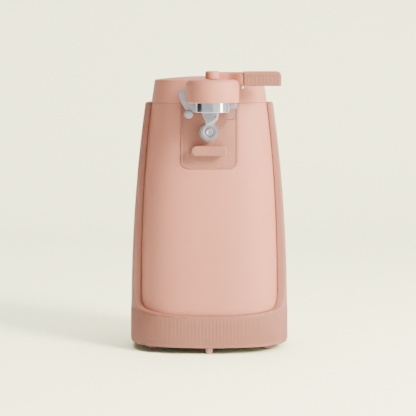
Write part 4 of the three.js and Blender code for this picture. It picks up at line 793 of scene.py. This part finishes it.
def plate_row(inset, proud):
    """One ring of the plate, laid on the panel's curve."""
    p = plate_ring(inset)
    return np.stack([p[:, 0], panel_front_y(p[:, 0], p[:, 1], proud), p[:, 1]], -1)


PLATE_SECTION = [
    (14, -2.1), (6, -2.1), (0.2, -2.1), (0, -1.9), (0, 0.05), (0.05, 0.26), (0.18, 0.42), (0.4, 0.5),
    (0.95, 0.5), (1.12, 0.46), (1.24, 0.34), (1.34, 0.16), (1.5, 0.06),
    *((inset, 0.02) for inset in (1.8, 3, 5, 7.5, 10, 12.5, 15, 17.5, 19.6)),
]
plate_rows = np.stack([plate_row(inset, proud) for inset, proud in PLATE_SECTION])
drive_plate = grid_piece("drive_plate_moulding", plate_rows, "housing", "rose_painted_shade_inset", capped=True)
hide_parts("drive_plate")

# ---- can rest
# A rounded bar on two stems that the side of the can leans on, with a witness ring at its left end.
REST_Z = DRIVE_Z - 13.3
REST_FRONT_Y, _ = cad_span("can_rest", Y)
REST_BACK_Y = -37.6
REST_HALF_WIDTH, REST_RADIUS = 12.5, 3.5


def pill(inset):
    """Outline of a bar with round ends, drawn in by inset."""
    r = REST_RADIUS - inset
    a = np.linspace(-np.pi / 2, np.pi / 2, 25)
    right_end = np.stack([REST_HALF_WIDTH - REST_RADIUS + r * np.cos(a), REST_Z + r * np.sin(a)], -1)
    return np.concatenate([right_end, np.stack([-right_end[::-1, 0], right_end[::-1, 1]], -1)])


rest_rows = []
for inset, y in (
    (2.4, REST_BACK_Y), (0.3, REST_BACK_Y), (0, REST_BACK_Y - 0.3), (0, REST_FRONT_Y + 1.0),
    (0.08, REST_FRONT_Y + 0.55), (0.3, REST_FRONT_Y + 0.2), (0.65, REST_FRONT_Y + 0.03),
    (1.1, REST_FRONT_Y), (2.4, REST_FRONT_Y), (3.4, REST_FRONT_Y),
):
    p = pill(inset)
    rest_rows.append(np.stack([p[:, 0], np.full(len(p), y), p[:, 1]], -1))
can_rest = grid_piece("can_rest_bar", np.stack(rest_rows), "housing", "rose_painted_shade_inset", capped=True)
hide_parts("can_rest")


def turned_grid(profile, centre, along_y=False, count=96):
    """Solid of revolution: profile of (radius, place along the axis), round z, or round y if along_y."""
    p = np.asarray(profile, float)
    a = np.linspace(0, 2 * np.pi, count, endpoint=False)
    c, s = p[:, :1] * np.cos(a), p[:, :1] * np.sin(a)
    along = p[:, 1:] + 0 * a
    if along_y:
        return np.stack([centre[0] + c, along, centre[1] + s], -1)
    return np.stack([centre[0] + c, centre[1] + s, along], -1)


def turned_piece(name, profile, centre, body, slot, along_y=False, count=96, closed=False, sharp_angle=38):
    """Turned piece. An open profile starts and ends on the axis, a closed one joins its ends."""
    grid = turned_grid(profile, centre, along_y, count)
    return grid_piece(name, grid, body, slot, through=closed, sharp_angle=sharp_angle)


ring_section = [(1.75, 0.3), (1.8, -0.02), (1.95, -0.1), (2.15, -0.1), (2.3, -0.02), (2.35, 0.3)]
ring_profile = [(radius, REST_FRONT_Y + back) for radius, back in ring_section]
ring_centre = (-9.0, REST_Z - 0.2)
turned_piece("can_rest_ring", ring_profile, ring_centre, "housing", "rose_painted_shade_inset", True, 48, True)

# ---- lever: cap, arm and neck
# One moulding: a round cap over the lid magnet, the arm plate behind it, and a neck out to the grip.
CAP_X = 2.2
MAGNET_Y = np.mean(cad_span("magnet_cup", Y))
CAP_LOW_Z, CAP_TOP_Z, CAP_RADIUS = 178.3, 194.2, 18.2
CAP_HOLLOW_RADIUS, CAP_HOLLOW_TOP_Z, POST_HOLE_RADIUS = 12.35, 184.6, 2.35
cap_profile = np.concatenate([
    [(POST_HOLE_RADIUS, CAP_TOP_Z)],
    soften([(2.6, CAP_TOP_Z), (CAP_RADIUS, CAP_TOP_Z), (CAP_RADIUS, CAP_LOW_Z + 2)], [0, 4.3, 0], 14, False),
    soften([
        (CAP_RADIUS, CAP_LOW_Z + 2), (CAP_RADIUS, CAP_LOW_Z), (16.4, CAP_LOW_Z), (CAP_HOLLOW_RADIUS, CAP_LOW_Z),
        (CAP_HOLLOW_RADIUS, CAP_HOLLOW_TOP_Z), (POST_HOLE_RADIUS, CAP_HOLLOW_TOP_Z),
    ], [0, 0.9, 0.3, 0.4, 0.3, 0], 6, False),
])
cap = turned_piece("lever_cap", cap_profile, (CAP_X, MAGNET_Y), "lever", "rose_plastic", count=144, closed=True)
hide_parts("lever_body")

_, ARM_BACK_Y = cad_span("lever_body", Y)
arm_outline = soften([(-14.4, 177.2), (17.3, 177.2), (17.3, 192.2), (-14.4, 192.2)], [3, 3, 5, 5], 8)
plate_piece("lever_arm", arm_outline, ARM_BACK_Y - 5, ARM_BACK_Y, "lever", "rose_plastic", 0.5)

GRIP_START_X, GRIP_END_X = 23.3, 49.6
GRIP_LOW_Z, GRIP_TOP_Z, GRIP_FRONT_Y = 189.6, 199.8, ARM_BACK_Y - 13
TONGUE_LENGTH = 3
neck_end = GRIP_START_X + np.array([-0.1, 0, 0, TONGUE_LENGTH, TONGUE_LENGTH])
neck_x = np.concatenate([[4.6, 4.6, 4.9, 5.4], np.linspace(6.5, GRIP_START_X - 0.4, 26), neck_end])
neck_shrink = np.concatenate([[0.0, 0.7, 0.9, 1.0], np.ones(26), [0.985, 0.95, 0.87, 0.87, 0.0]])
flare = ramp(neck_x, 12, GRIP_START_X)
neck_front = -51.5 + (GRIP_FRONT_Y + 1.0 + 51.5) * flare
neck_low = 193.2 + (GRIP_LOW_Z + 0.9 - 193.2) * ramp(neck_x, 15, GRIP_START_X)
neck_rows = []
for x, shrink, front, low_z in zip(neck_x, neck_shrink, neck_front, neck_low):
    top_z = GRIP_TOP_Z - 0.5
    corners = [(ARM_BACK_Y, low_z), (front, low_z), (front, top_z), (ARM_BACK_Y, top_z)]
    section = soften(corners, [0.6, 1.2, 2.4, 1.0], 9)
    middle = np.array([(ARM_BACK_Y + front) / 2, (low_z + GRIP_TOP_Z) / 2])
    section = middle + (section - middle) * shrink
    neck_rows.append(np.stack([np.full(len(section), x), section[:, 0], section[:, 1]], -1))
grid_piece("lever_neck", np.stack(neck_rows), "lever", "rose_plastic")

# ---- grip
# The finger grip: a separate moulding pushed on to the neck's tongue. Upright ribs cover its front face
# below a smooth band along the top edge.
RIB_PITCH = 0.93
GRIP_POINTS_A_RIB = 8
grip_ribs = 26
rib_start = GRIP_START_X + 0.9
rib_end = rib_start + grip_ribs * RIB_PITCH
rib_x = np.linspace(rib_start, rib_end, grip_ribs * GRIP_POINTS_A_RIB + 1)
rib_wave = 0.24 * np.abs(np.sin(np.pi * (rib_x - rib_start) / RIB_PITCH)) ** 0.8
start_x = GRIP_START_X + SEAM
tail = np.linspace(0, 1, 8)[1:]
END_ROUND = 0.9
tail_x = GRIP_END_X - END_ROUND + END_ROUND * np.sin(tail * np.pi / 2)
grip_x = np.concatenate([[start_x, start_x, start_x + 0.12], rib_x, tail_x, [GRIP_END_X]])
grip_inset = np.concatenate([[3.0, 0.25, 0.0], 0 * rib_x, END_ROUND * (1 - np.cos(tail * np.pi / 2)), [3.0]])
grip_wave = np.concatenate([[0, 0, 0], rib_wave, 0 * tail_x, [0]])
TOP_CORNER = 3.2
over = np.clip(grip_x - (GRIP_END_X - TOP_CORNER), 0, TOP_CORNER)
grip_top = GRIP_TOP_Z - (TOP_CORNER - np.sqrt(TOP_CORNER**2 - over**2)) * 0.9
BAND_LOW_Z = 197.1
FACE_Y = GRIP_FRONT_Y + 0.45


def grip_section(inset, wave, top):
    """Grip's outline in (y, z): smooth band above, ribbed face below, pulled in by inset."""
    band = min(BAND_LOW_Z, top - 0.9)
    face = FACE_Y - wave + inset
    low, high, back, front = GRIP_LOW_Z + inset, top - inset, ARM_BACK_Y - inset, GRIP_FRONT_Y + inset
    return np.concatenate([
        soften([(back, low), (back, high), (front, high), (front, band)], [0.5, 1.2, 2.0, 0.12], 8)[4:],
        [(face - 0.05, band - 0.12), (face, band - 0.35), (face, low + 0.9), (face + 0.25, low + 0.3),
         (face + 0.9, low)],
    ])


grip_rows = []
for x, inset, wave, top in zip(grip_x, grip_inset, grip_wave, grip_top):
    section = grip_section(inset, wave, top)
    grip_rows.append(np.stack([np.full(len(section), x), section[:, 0], section[:, 1]], -1))
first_middle, last_middle = (row.mean(0) + 0 * row for row in (grip_rows[0], grip_rows[-1]))
grip_grid = np.stack([first_middle, *grip_rows, last_middle])
grip = grid_piece("lever_grip_ribbed", grip_grid, "lever", "rose_painted_shade_ribbed", sharp_angle=50)
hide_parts("lever_grip")

PIN_X = np.mean(cad_span("grip_pin", X))
PIN_Z = np.mean(cad_span("grip_pin", Z))
PIN_FRONT_Y, _ = cad_span("grip_pin", Y)
PIN_RADIUS = 1.25
a = np.linspace(0, np.pi / 2, 10)
dowel_profile = np.concatenate([
    np.stack([PIN_RADIUS * np.sin(a), PIN_FRONT_Y + PIN_RADIUS * (1 - np.cos(a))], -1),
    [(PIN_RADIUS, ARM_BACK_Y - 2), (0, ARM_BACK_Y - 2)],
])

# ---- cutter bracket
# A stamped steel plate screwed behind the arm. Its curved left lobe carries the guide pin.
# Grain of worked metal: streaks along the way it was drawn, ground or turned, and dull patches.
worked_grain, worked_in, worked_out = add_group(
    "worked_grain", {"Vector": (0, 0, 0), "Stretch": (1, 1, 1)}, ("Streak", "Patch"),
)
at = worked_in["Vector"]
drawn = add_node(worked_grain, "VectorMath", {0: at, 1: worked_in["Stretch"]}, operation="MULTIPLY")
worked_grain.links.new(noise(worked_grain, drawn.outputs[0], 1.0, 4.0, Roughness=0.65), worked_out["Streak"])
worked_grain.links.new(noise(worked_grain, at, 170.0, 5.0, Distortion=0.7), worked_out["Patch"])


def worked_metal(name, colour, dull_colour, roughness, stretch, depth, spread=0.1, wear_and_highlight=0.2):
    """Metal with streaks of a stretch in each direction and a depth in metres, dull patches and bright edges."""
    material = bpy.data.materials.new(name)
    material.use_nodes = True
    tree = material.node_tree
    shader = tree.nodes["Principled BSDF"]
    shader.inputs["Metallic"].default_value = 1.0
    where = add_node(tree, "TexCoord").outputs["Object"]
    grain_of = add_node(tree, "Group", node_tree=worked_grain)
    tree.links.new(where, grain_of.inputs["Vector"])
    grain_of.inputs["Stretch"].default_value = stretch
    worn_and_lit = add_node(tree, "Group", node_tree=edge_wear_and_highlight)
    tree.links.new(where, worn_and_lit.inputs["Vector"])
    worn_and_lit.inputs["Radius"].default_value = 0.00018
    dull = between(tree, grain_of.outputs["Patch"], 0, 1, 0.3, 0.7)
    tone = mix_colour(tree, dull, (*colour, 1), (*dull_colour, 1))
    streak_share = between(tree, grain_of.outputs["Streak"], 0, 0.35, 0.3, 0.7)
    streaked = mix_colour(tree, streak_share, tone, (*dull_colour, 1))
    edge_share = times(tree, worn_and_lit.outputs["WornAndLit"], wear_and_highlight)
    tree.links.new(mix_colour(tree, edge_share, streaked, (0.93, 0.93, 0.92, 1)), shader.inputs["Base Color"])
    matt = between(tree, grain_of.outputs["Streak"], roughness - spread / 2, roughness + spread / 2, 0.3, 0.7)
    polish = times(tree, worn_and_lit.outputs["WornAndLit"], 0.1)
    tree.links.new(times(tree, matt, polish, "SUBTRACT"), shader.inputs["Roughness"])
    bump = add_node(tree, "Bump", {"Height": grain_of.outputs["Streak"], "Strength": 0.5, "Distance": depth})
    tree.links.new(bump.outputs[0], shader.inputs["Normal"])
    return material


finishes["satin_steel"] = worked_metal(
    "satin_steel", (0.54, 0.54, 0.54), (0.40, 0.40, 0.40), 0.40, (2200, 2200, 420), 0.00003,
)

BRACKET_FRONT_Y, BRACKET_BACK_Y = cad_span("cutter_bracket", Y)
GUIDE_X, GUIDE_Z, GUIDE_RADIUS = -14.25, 169.9, 3.0
ear = np.linspace(np.pi, 2 * np.pi, 12)
EAR_RADIUS = 2.1
lobe_corners = [(-21.1, 187.1), (-20.8, 180.6), (-18.0, 175.4), (GUIDE_X - EAR_RADIUS, 172.6)]
bracket_outline = np.concatenate([
    soften(lobe_corners, [1.6, 3.2, 2.5, 0], 8, False),
    np.stack([GUIDE_X + EAR_RADIUS * np.cos(ear), GUIDE_Z + EAR_RADIUS * np.sin(ear)], -1),
    soften([
        (GUIDE_X + 2.6, 171.4), (-9, 171.2), (-8, 172.7), (14.4, 172.7), (14.4, 173.7), (18.8, 173.7),
        (18.8, 182.5), (12, 187.1),
    ], [0.2, 0.3, 0.3, 0.2, 0.2, 0.8, 0.8, 0.8], 4),
])
bracket = plate_piece(
    "cutter_bracket_plate", bracket_outline, BRACKET_FRONT_Y, BRACKET_BACK_Y, "lever", "satin_steel", 0.35,
)
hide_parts("cutter_bracket")

# ---- guide pin
# A turned, flat-headed pin that the rim of the can slides under.
WHEEL_FRONT_Y, _ = cad_span("feed_wheel", Y)
WHEEL_BACK_Y = WHEEL_FRONT_Y + 3
HEAD_Y = WHEEL_FRONT_Y - 0.9
HEAD_BACK_Y, TAIL_Y, STEM_RADIUS = WHEEL_FRONT_Y + 1, BRACKET_BACK_Y + 0.6, 1.9
pin_corners = [
    (0, HEAD_Y), (1.0, HEAD_Y), (GUIDE_RADIUS - 0.15, HEAD_Y + 0.05), (GUIDE_RADIUS, HEAD_BACK_Y),
    (STEM_RADIUS, HEAD_BACK_Y), (STEM_RADIUS, TAIL_Y), (0, TAIL_Y),
]
pin_profile = soften(pin_corners, [0, 0, 0.7, 0.2, 0.1, 0.2, 0], 7, False)
guide = turned_piece("guide_pin_head", pin_profile, (GUIDE_X, GUIDE_Z), "lever", "satin_steel", True, 72)
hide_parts("guide_pin")

# ---- rim guide
# A thin bent strip on the right that keeps the rim down on the wheel, with its fixing tab.
finishes["spring_steel"] = worked_metal(
    "spring_steel", (0.26, 0.26, 0.265), (0.17, 0.17, 0.175), 0.36, (2600, 2600, 300), 0.00002,
)
STRIP_X, STRIP_BEND_Z, STRIP_RADIUS, STRIP_THICK = 18.6, 170.1, 3.6, 0.75
quarter = np.linspace(0, -np.pi / 2, 14)
centre = np.array([STRIP_X - STRIP_RADIUS, STRIP_BEND_Z])
outer = centre + (STRIP_RADIUS + STRIP_THICK) * np.stack([np.cos(quarter), np.sin(quarter)], -1)
inner = centre + STRIP_RADIUS * np.stack([np.cos(quarter), np.sin(quarter)], -1)
STRIP_TOP_Z = 176.4
turned_up_end = [(12.4, 166.15), (11.6, 166.75), (11.8, 167.25), (12.6, 166.9)]
strip_outline = np.concatenate([
    [(STRIP_X + STRIP_THICK, STRIP_TOP_Z)], outer, turned_up_end, inner[::-1], [(STRIP_X, STRIP_TOP_Z)],
])
strip = plate_piece(
    "rim_guide_strip", strip_outline, WHEEL_FRONT_Y, BRACKET_FRONT_Y - 0.3, "lever", "spring_steel", 0.12,
)
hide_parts("rim_guide")
tab_outline = soften([(14.6, 173.9), (19.1, 173.9), (19.1, 177.1), (14.6, 177.1)], 0.7, 4)
plate_piece(
    "rim_guide_tab", tab_outline, WHEEL_FRONT_Y - 0.1, BRACKET_FRONT_Y - 0.2, "lever", "satin_steel", 0.25,
)

# ---- cutting blade
# A hardened, plough-shaped blade with a slanting ridge, riveted to the bracket through its foot.
BLADE_BACK_Y = WHEEL_FRONT_Y - 0.8
BLADE_FRONT_Y, _ = cad_span("cutting_blade", Y)
blade_corners = [
    (-5.3, 176.7), (-5.3, 170.8), (-2.5, 164.6), (-2.2, 162.3), (3.2, 162.2), (3.7, 164.0), (5.9, 166.3),
    (6.6, 170.4), (6.6, 176.7),
]
blade_outline = soften(blade_corners, [0.2, 0.8, 0.7, 0.4, 0.4, 0.6, 0.8, 0.8, 0.2], 5)
RIDGE_A, RIDGE_B = np.array([4.9, 167.3]), np.array([-1.2, 163.4])
blade_plate = plate_grid(blade_outline, BLADE_FRONT_Y + 0.4, BLADE_BACK_Y, 0.14)
ridge_way = RIDGE_A - RIDGE_B
share = np.clip(((blade_plate[-1][:, [X, Z]] - RIDGE_B) @ ridge_way) / np.sum(ridge_way**2), 0, 1)
ridge = RIDGE_B + share[:, None] * ridge_way
ridge_row = np.stack([ridge[:, 0], np.full(len(ridge), BLADE_FRONT_Y), ridge[:, 1]], -1)
blade_rows = np.concatenate([blade_plate, ridge_row[None]])
blade_columns = blade_rows.shape[1]
blade_faces = [*grid_faces(len(blade_rows), blade_columns, True, False), list(range(blade_columns))]
blade_mesh = add_mesh("cutting_blade_plough", place(blade_rows), blade_faces, sharp_angle=14)
blade = put_on(blade_mesh, "lever", "satin_steel")
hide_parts("cutting_blade")
foot_outline = soften([(-3.3, 172.9), (4.9, 172.9), (4.9, 176.6), (-3.3, 176.6)], 0.3, 4)
plate_piece(
    "cutting_blade_foot", foot_outline, BLADE_BACK_Y - 0.1, BRACKET_FRONT_Y - 0.3, "lever", "satin_steel", 0.2,
)
finishes["dark_steel"] = worked_metal(
    "dark_steel", (0.30, 0.30, 0.31), (0.20, 0.20, 0.205), 0.4, (900, 900, 900), 0.00003,
)
RIVET_RADIUS, RIVET_TAIL_Y = 0.95, BLADE_BACK_Y - 0.2
rivet_y = BLADE_FRONT_Y - 0.02
rivet_corners = [
    (0, rivet_y + 0.05), (0.45, rivet_y - 0.15), (RIVET_RADIUS, rivet_y + 0.1), (RIVET_RADIUS, RIVET_TAIL_Y),
    (0, RIVET_TAIL_Y),
]
rivet_profile = soften(rivet_corners, [0, 0.2, 0.2, 0, 0], 5, False)
turned_piece("blade_rivet", rivet_profile, (4.5, 168.4), "lever", "dark_steel", True, 32)

# ---- feed wheel
# A hardened toothed wheel on the drive shaft: 28 pointed teeth, bevelled to the front, and a turned hub.
finishes["zinc_plate"] = worked_metal(
    "zinc_plate", (0.42, 0.42, 0.42), (0.29, 0.29, 0.29), 0.46, (1500, 1500, 1500), 0.00004,
)
TEETH, TIP_RADIUS, TOOTH_DEPTH = 28, 7.1, 1.9
step_angle = 2 * np.pi / TEETH
tooth_share = np.array([-0.5, -0.42, -0.2, -0.1, 0.1, 0.2, 0.42])
tooth_radius = np.array([0, 0.05, 0.8, 1, 1, 0.8, 0.05])
tooth_angle = (np.arange(TEETH)[:, None] + tooth_share).reshape(-1) * step_angle
tooth_height = np.tile(tooth_radius, TEETH)


def wheel_row(base, height, back):
    """Ring of the wheel: base radius plus the teeth's outline scaled to height, back from the wheel's front."""
    r = base + tooth_height * height
    return np.stack([r * np.cos(tooth_angle), WHEEL_FRONT_Y + back + 0 * r, DRIVE_Z + r * np.sin(tooth_angle)], -1)


ROOT = TIP_RADIUS - TOOTH_DEPTH
WHEEL_THICKNESS = WHEEL_BACK_Y - WHEEL_FRONT_Y
wheel_section = [
    (2.95, 0, WHEEL_THICKNESS), (ROOT - 0.6, 0, WHEEL_THICKNESS), (ROOT - 0.1, 1, WHEEL_THICKNESS),
    (ROOT, 1, WHEEL_THICKNESS - 0.15), (ROOT, 1, 0.8), (ROOT - 0.02, 0.97, 0.25), (ROOT - 0.08, 0.86, 0.06),
    (ROOT - 0.25, 0.6, 0), (ROOT - 0.5, 0, 0.01), (3.5, 0, 0.02), (3.3, 0, 0.12), (3.2, 0, 0.8), (3.0, 0, 0.65),
    (2.95, 0, 0.7),
]
wheel_grid = np.stack([wheel_row(base, TOOTH_DEPTH * share, back) for base, share, back in wheel_section])
wheel = grid_piece("feed_wheel_toothed", wheel_grid, "feed_drive", "zinc_plate", through=True, sharp_angle=30)
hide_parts("feed_wheel")
hub_section = [(0, 0.1), (1.3, 0.1), (1.5, -0.28), (2.55, -0.28), (2.6, 2.6), (0, 2.6)]
hub_corners = [(radius, WHEEL_FRONT_Y + back) for radius, back in hub_section]
hub_profile = soften(hub_corners, [0, 0.1, 0.2, 0.35, 0.1, 0], 8, False)
hub = turned_piece("wheel_hub_cap", hub_profile, (0, DRIVE_Z), "feed_drive", "satin_steel", True, 72)
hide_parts("wheel_screw")
COLLAR_BORE, COLLAR_RADIUS = 3.1, 4.4
collar_y = WHEEL_BACK_Y + np.array([-0.2, -0.2, 3.4, 3.4])
collar_corners = np.stack([[COLLAR_BORE, COLLAR_RADIUS, COLLAR_RADIUS, COLLAR_BORE], collar_y], -1)
collar_profile = soften(collar_corners, 0.15, 4)
turned_piece("wheel_collar", collar_profile, (0, DRIVE_Z), "feed_drive", "satin_steel", True, 64, True)

# ---- lid magnet
# A polished steel cup with a ferrite ring in it, hung on the knob's post so that it floats on the lid.
finishes["polished_steel"] = worked_metal(
    "polished_steel", (0.84, 0.845, 0.85), (0.70, 0.705, 0.71), 0.15, (40, 40, 5200), 0.000004, 0.06, 0.2,
)
MAGNET_LOW_Z, MAGNET_TOP_Z = cad_span("magnet_cup", Z)
CUP_RADIUS, CUP_WALL, CUP_HOLE_RADIUS = 11.7, 1.4, 2.5
cup_inner, roof_z = CUP_RADIUS - CUP_WALL, MAGNET_TOP_Z - CUP_WALL
cup_corners = [
    (cup_inner, MAGNET_LOW_Z), (CUP_RADIUS, MAGNET_LOW_Z), (CUP_RADIUS, MAGNET_TOP_Z),
    (CUP_HOLE_RADIUS, MAGNET_TOP_Z), (CUP_HOLE_RADIUS, roof_z), (cup_inner, roof_z),
]
cup_profile = soften(cup_corners, [0.25, 0.45, 0.9, 0.1, 0.1, 0.3], 7)
cup_centre = (CAP_X, MAGNET_Y)
cup = turned_piece("magnet_cup_polished", cup_profile, cup_centre, "magnet", "polished_steel", False, 160, True)
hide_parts("magnet_cup")
grip_pin = turned_piece("grip_dowel", dowel_profile, (PIN_X, PIN_Z), "lever", "polished_steel", True, 32)
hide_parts("grip_pin")
_, KNOB_TOP_Z = cad_span("magnet_knob", Z)
KNOB_LOW_Z, POST_LOW_Z, POST_RADIUS = KNOB_TOP_Z - 5.5, MAGNET_LOW_Z + 0.6, 2.2
knob_corners = [
    (0, POST_LOW_Z), (POST_RADIUS, POST_LOW_Z), (POST_RADIUS, KNOB_LOW_Z), (4.95, KNOB_LOW_Z),
    (4.9, KNOB_TOP_Z - 0.02), (1.4, KNOB_TOP_Z), (0, KNOB_TOP_Z),
]
knob_profile = soften(knob_corners, [0, 0.1, 0.1, 0.45, 1.5, 0.3, 0], 9, False)
knob = turned_piece("magnet_lift_knob", knob_profile, cup_centre, "magnet", "rose_plastic")
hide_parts("magnet_knob")

# ---- feet
# Five pads pressed into the base plate: a slim one in the middle of the front and four wider ones.
finishes["foot_rubber"] = moulded_plastic(
    "foot_rubber", (0.60, 0.30, 0.22), (0.52, 0.26, 0.19), (0.70, 0.42, 0.34), 0.68, 1500, 0.00008, 0.2,
)
PAD_HEIGHT, PLUG_TOP_Z, PLUG_RADIUS = 4.5, 8.2, 2.2
for name in ("front_foot", "left_foot", "right_foot", "rear_left_foot", "rear_right_foot"):
    x, y = np.mean(cad_span(name, X)), np.mean(cad_span(name, Y))
    radius = x - cad_span(name, X)[0]
    foot_radius = 0.72 * radius if name == "front_foot" else 0.9 * radius
    foot_corners = [
        (0, 0), (foot_radius, 0), (radius * 0.96, PAD_HEIGHT), (PLUG_RADIUS, PAD_HEIGHT),
        (PLUG_RADIUS, PLUG_TOP_Z), (0, PLUG_TOP_Z),
    ]
    profile = soften(foot_corners, [0, 0.7, 0.1, 0.1, 0.4, 0], 7, False)
    pad = turned_piece(name + "_pad", profile, (x, y), "housing", "foot_rubber", count=48)
    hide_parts(name)

# ---- gear train and its frame
# Two zinc-plated plates held apart by turned posts carry three moulded nylon gears on steel axles, which
# run in sintered bronze bushes. The last gear turns the drive shaft of the feed wheel.
finishes["zinc_steel"] = worked_metal(
    "zinc_steel", (0.62, 0.625, 0.63), (0.46, 0.47, 0.475), 0.36, (300, 300, 300), 0.00002,
)
finishes["nylon"] = moulded_plastic(
    "nylon", (0.80, 0.76, 0.66), (0.72, 0.67, 0.56), (0.88, 0.86, 0.80), 0.42, 1800, 0.00003, 0.3,
)
# The bronze is kept far darker than the metal: painted shade, so that the bush seen between the feed wheel's teeth
# reads as the shadow behind them.
finishes["sintered_bronze"] = worked_metal(
    "sintered_bronze", (0.26, 0.17, 0.09), (0.15, 0.10, 0.055), 0.48, (2600, 2600, 2600), 0.00006, 0.16,
)

# ---- motor, fan and switch
# A shaded-pole motor: a stack of stamped sheets with one winding on a black bobbin, a rotor in bearings, and
# a black fan behind it. A lever-worked switch sits above it.
finishes["black_plastic"] = moulded_plastic(
    "black_plastic", (0.022, 0.022, 0.024), (0.014, 0.014, 0.015), (0.07, 0.07, 0.07), 0.44, 1900, 0.00005, 0.4,
)
finishes["ferrite"] = worked_metal(
    "ferrite", (0.13, 0.13, 0.135), (0.07, 0.07, 0.07), 0.6, (1800, 1800, 1800), 0.00005, 0.12, 0.2,
)
finishes["ferrite"].node_tree.nodes["Principled BSDF"].inputs["Metallic"].default_value = 0.0
finishes["copper_wire"] = worked_metal(
    "copper_wire", (0.62, 0.25, 0.10), (0.36, 0.12, 0.05), 0.34, (40, 5600, 40), 0.00016, 0.1, 0.1,
)
finishes["stacked_sheets"] = worked_metal(
    "stacked_sheets", (0.36, 0.36, 0.37), (0.15, 0.145, 0.14), 0.46, (30, 4200, 30), 0.0001, 0.16, 0.2,
)
# Near-black base plate: painted shade, its dark colour keeps the shadow under the base dark.
finishes["base_painted_shade"] = moulded_plastic(
    "base_painted_shade", (0.10, 0.065, 0.055), (0.08, 0.05, 0.042), (0.2, 0.13, 0.11), 0.6, 1500, 0.0001,
)
special = {"motor_core": "stacked_sheets", "rotor_core": "stacked_sheets", "base_plate": "base_painted_shade"}
for subpart in frame["record"]["subparts"]:
    node = subpart["node"]
    finish = special.get(node, subpart["material_slot"])
    shown = frame["nodes"][node].data
    shown.materials.clear()
    shown.materials.append(finishes[finish])
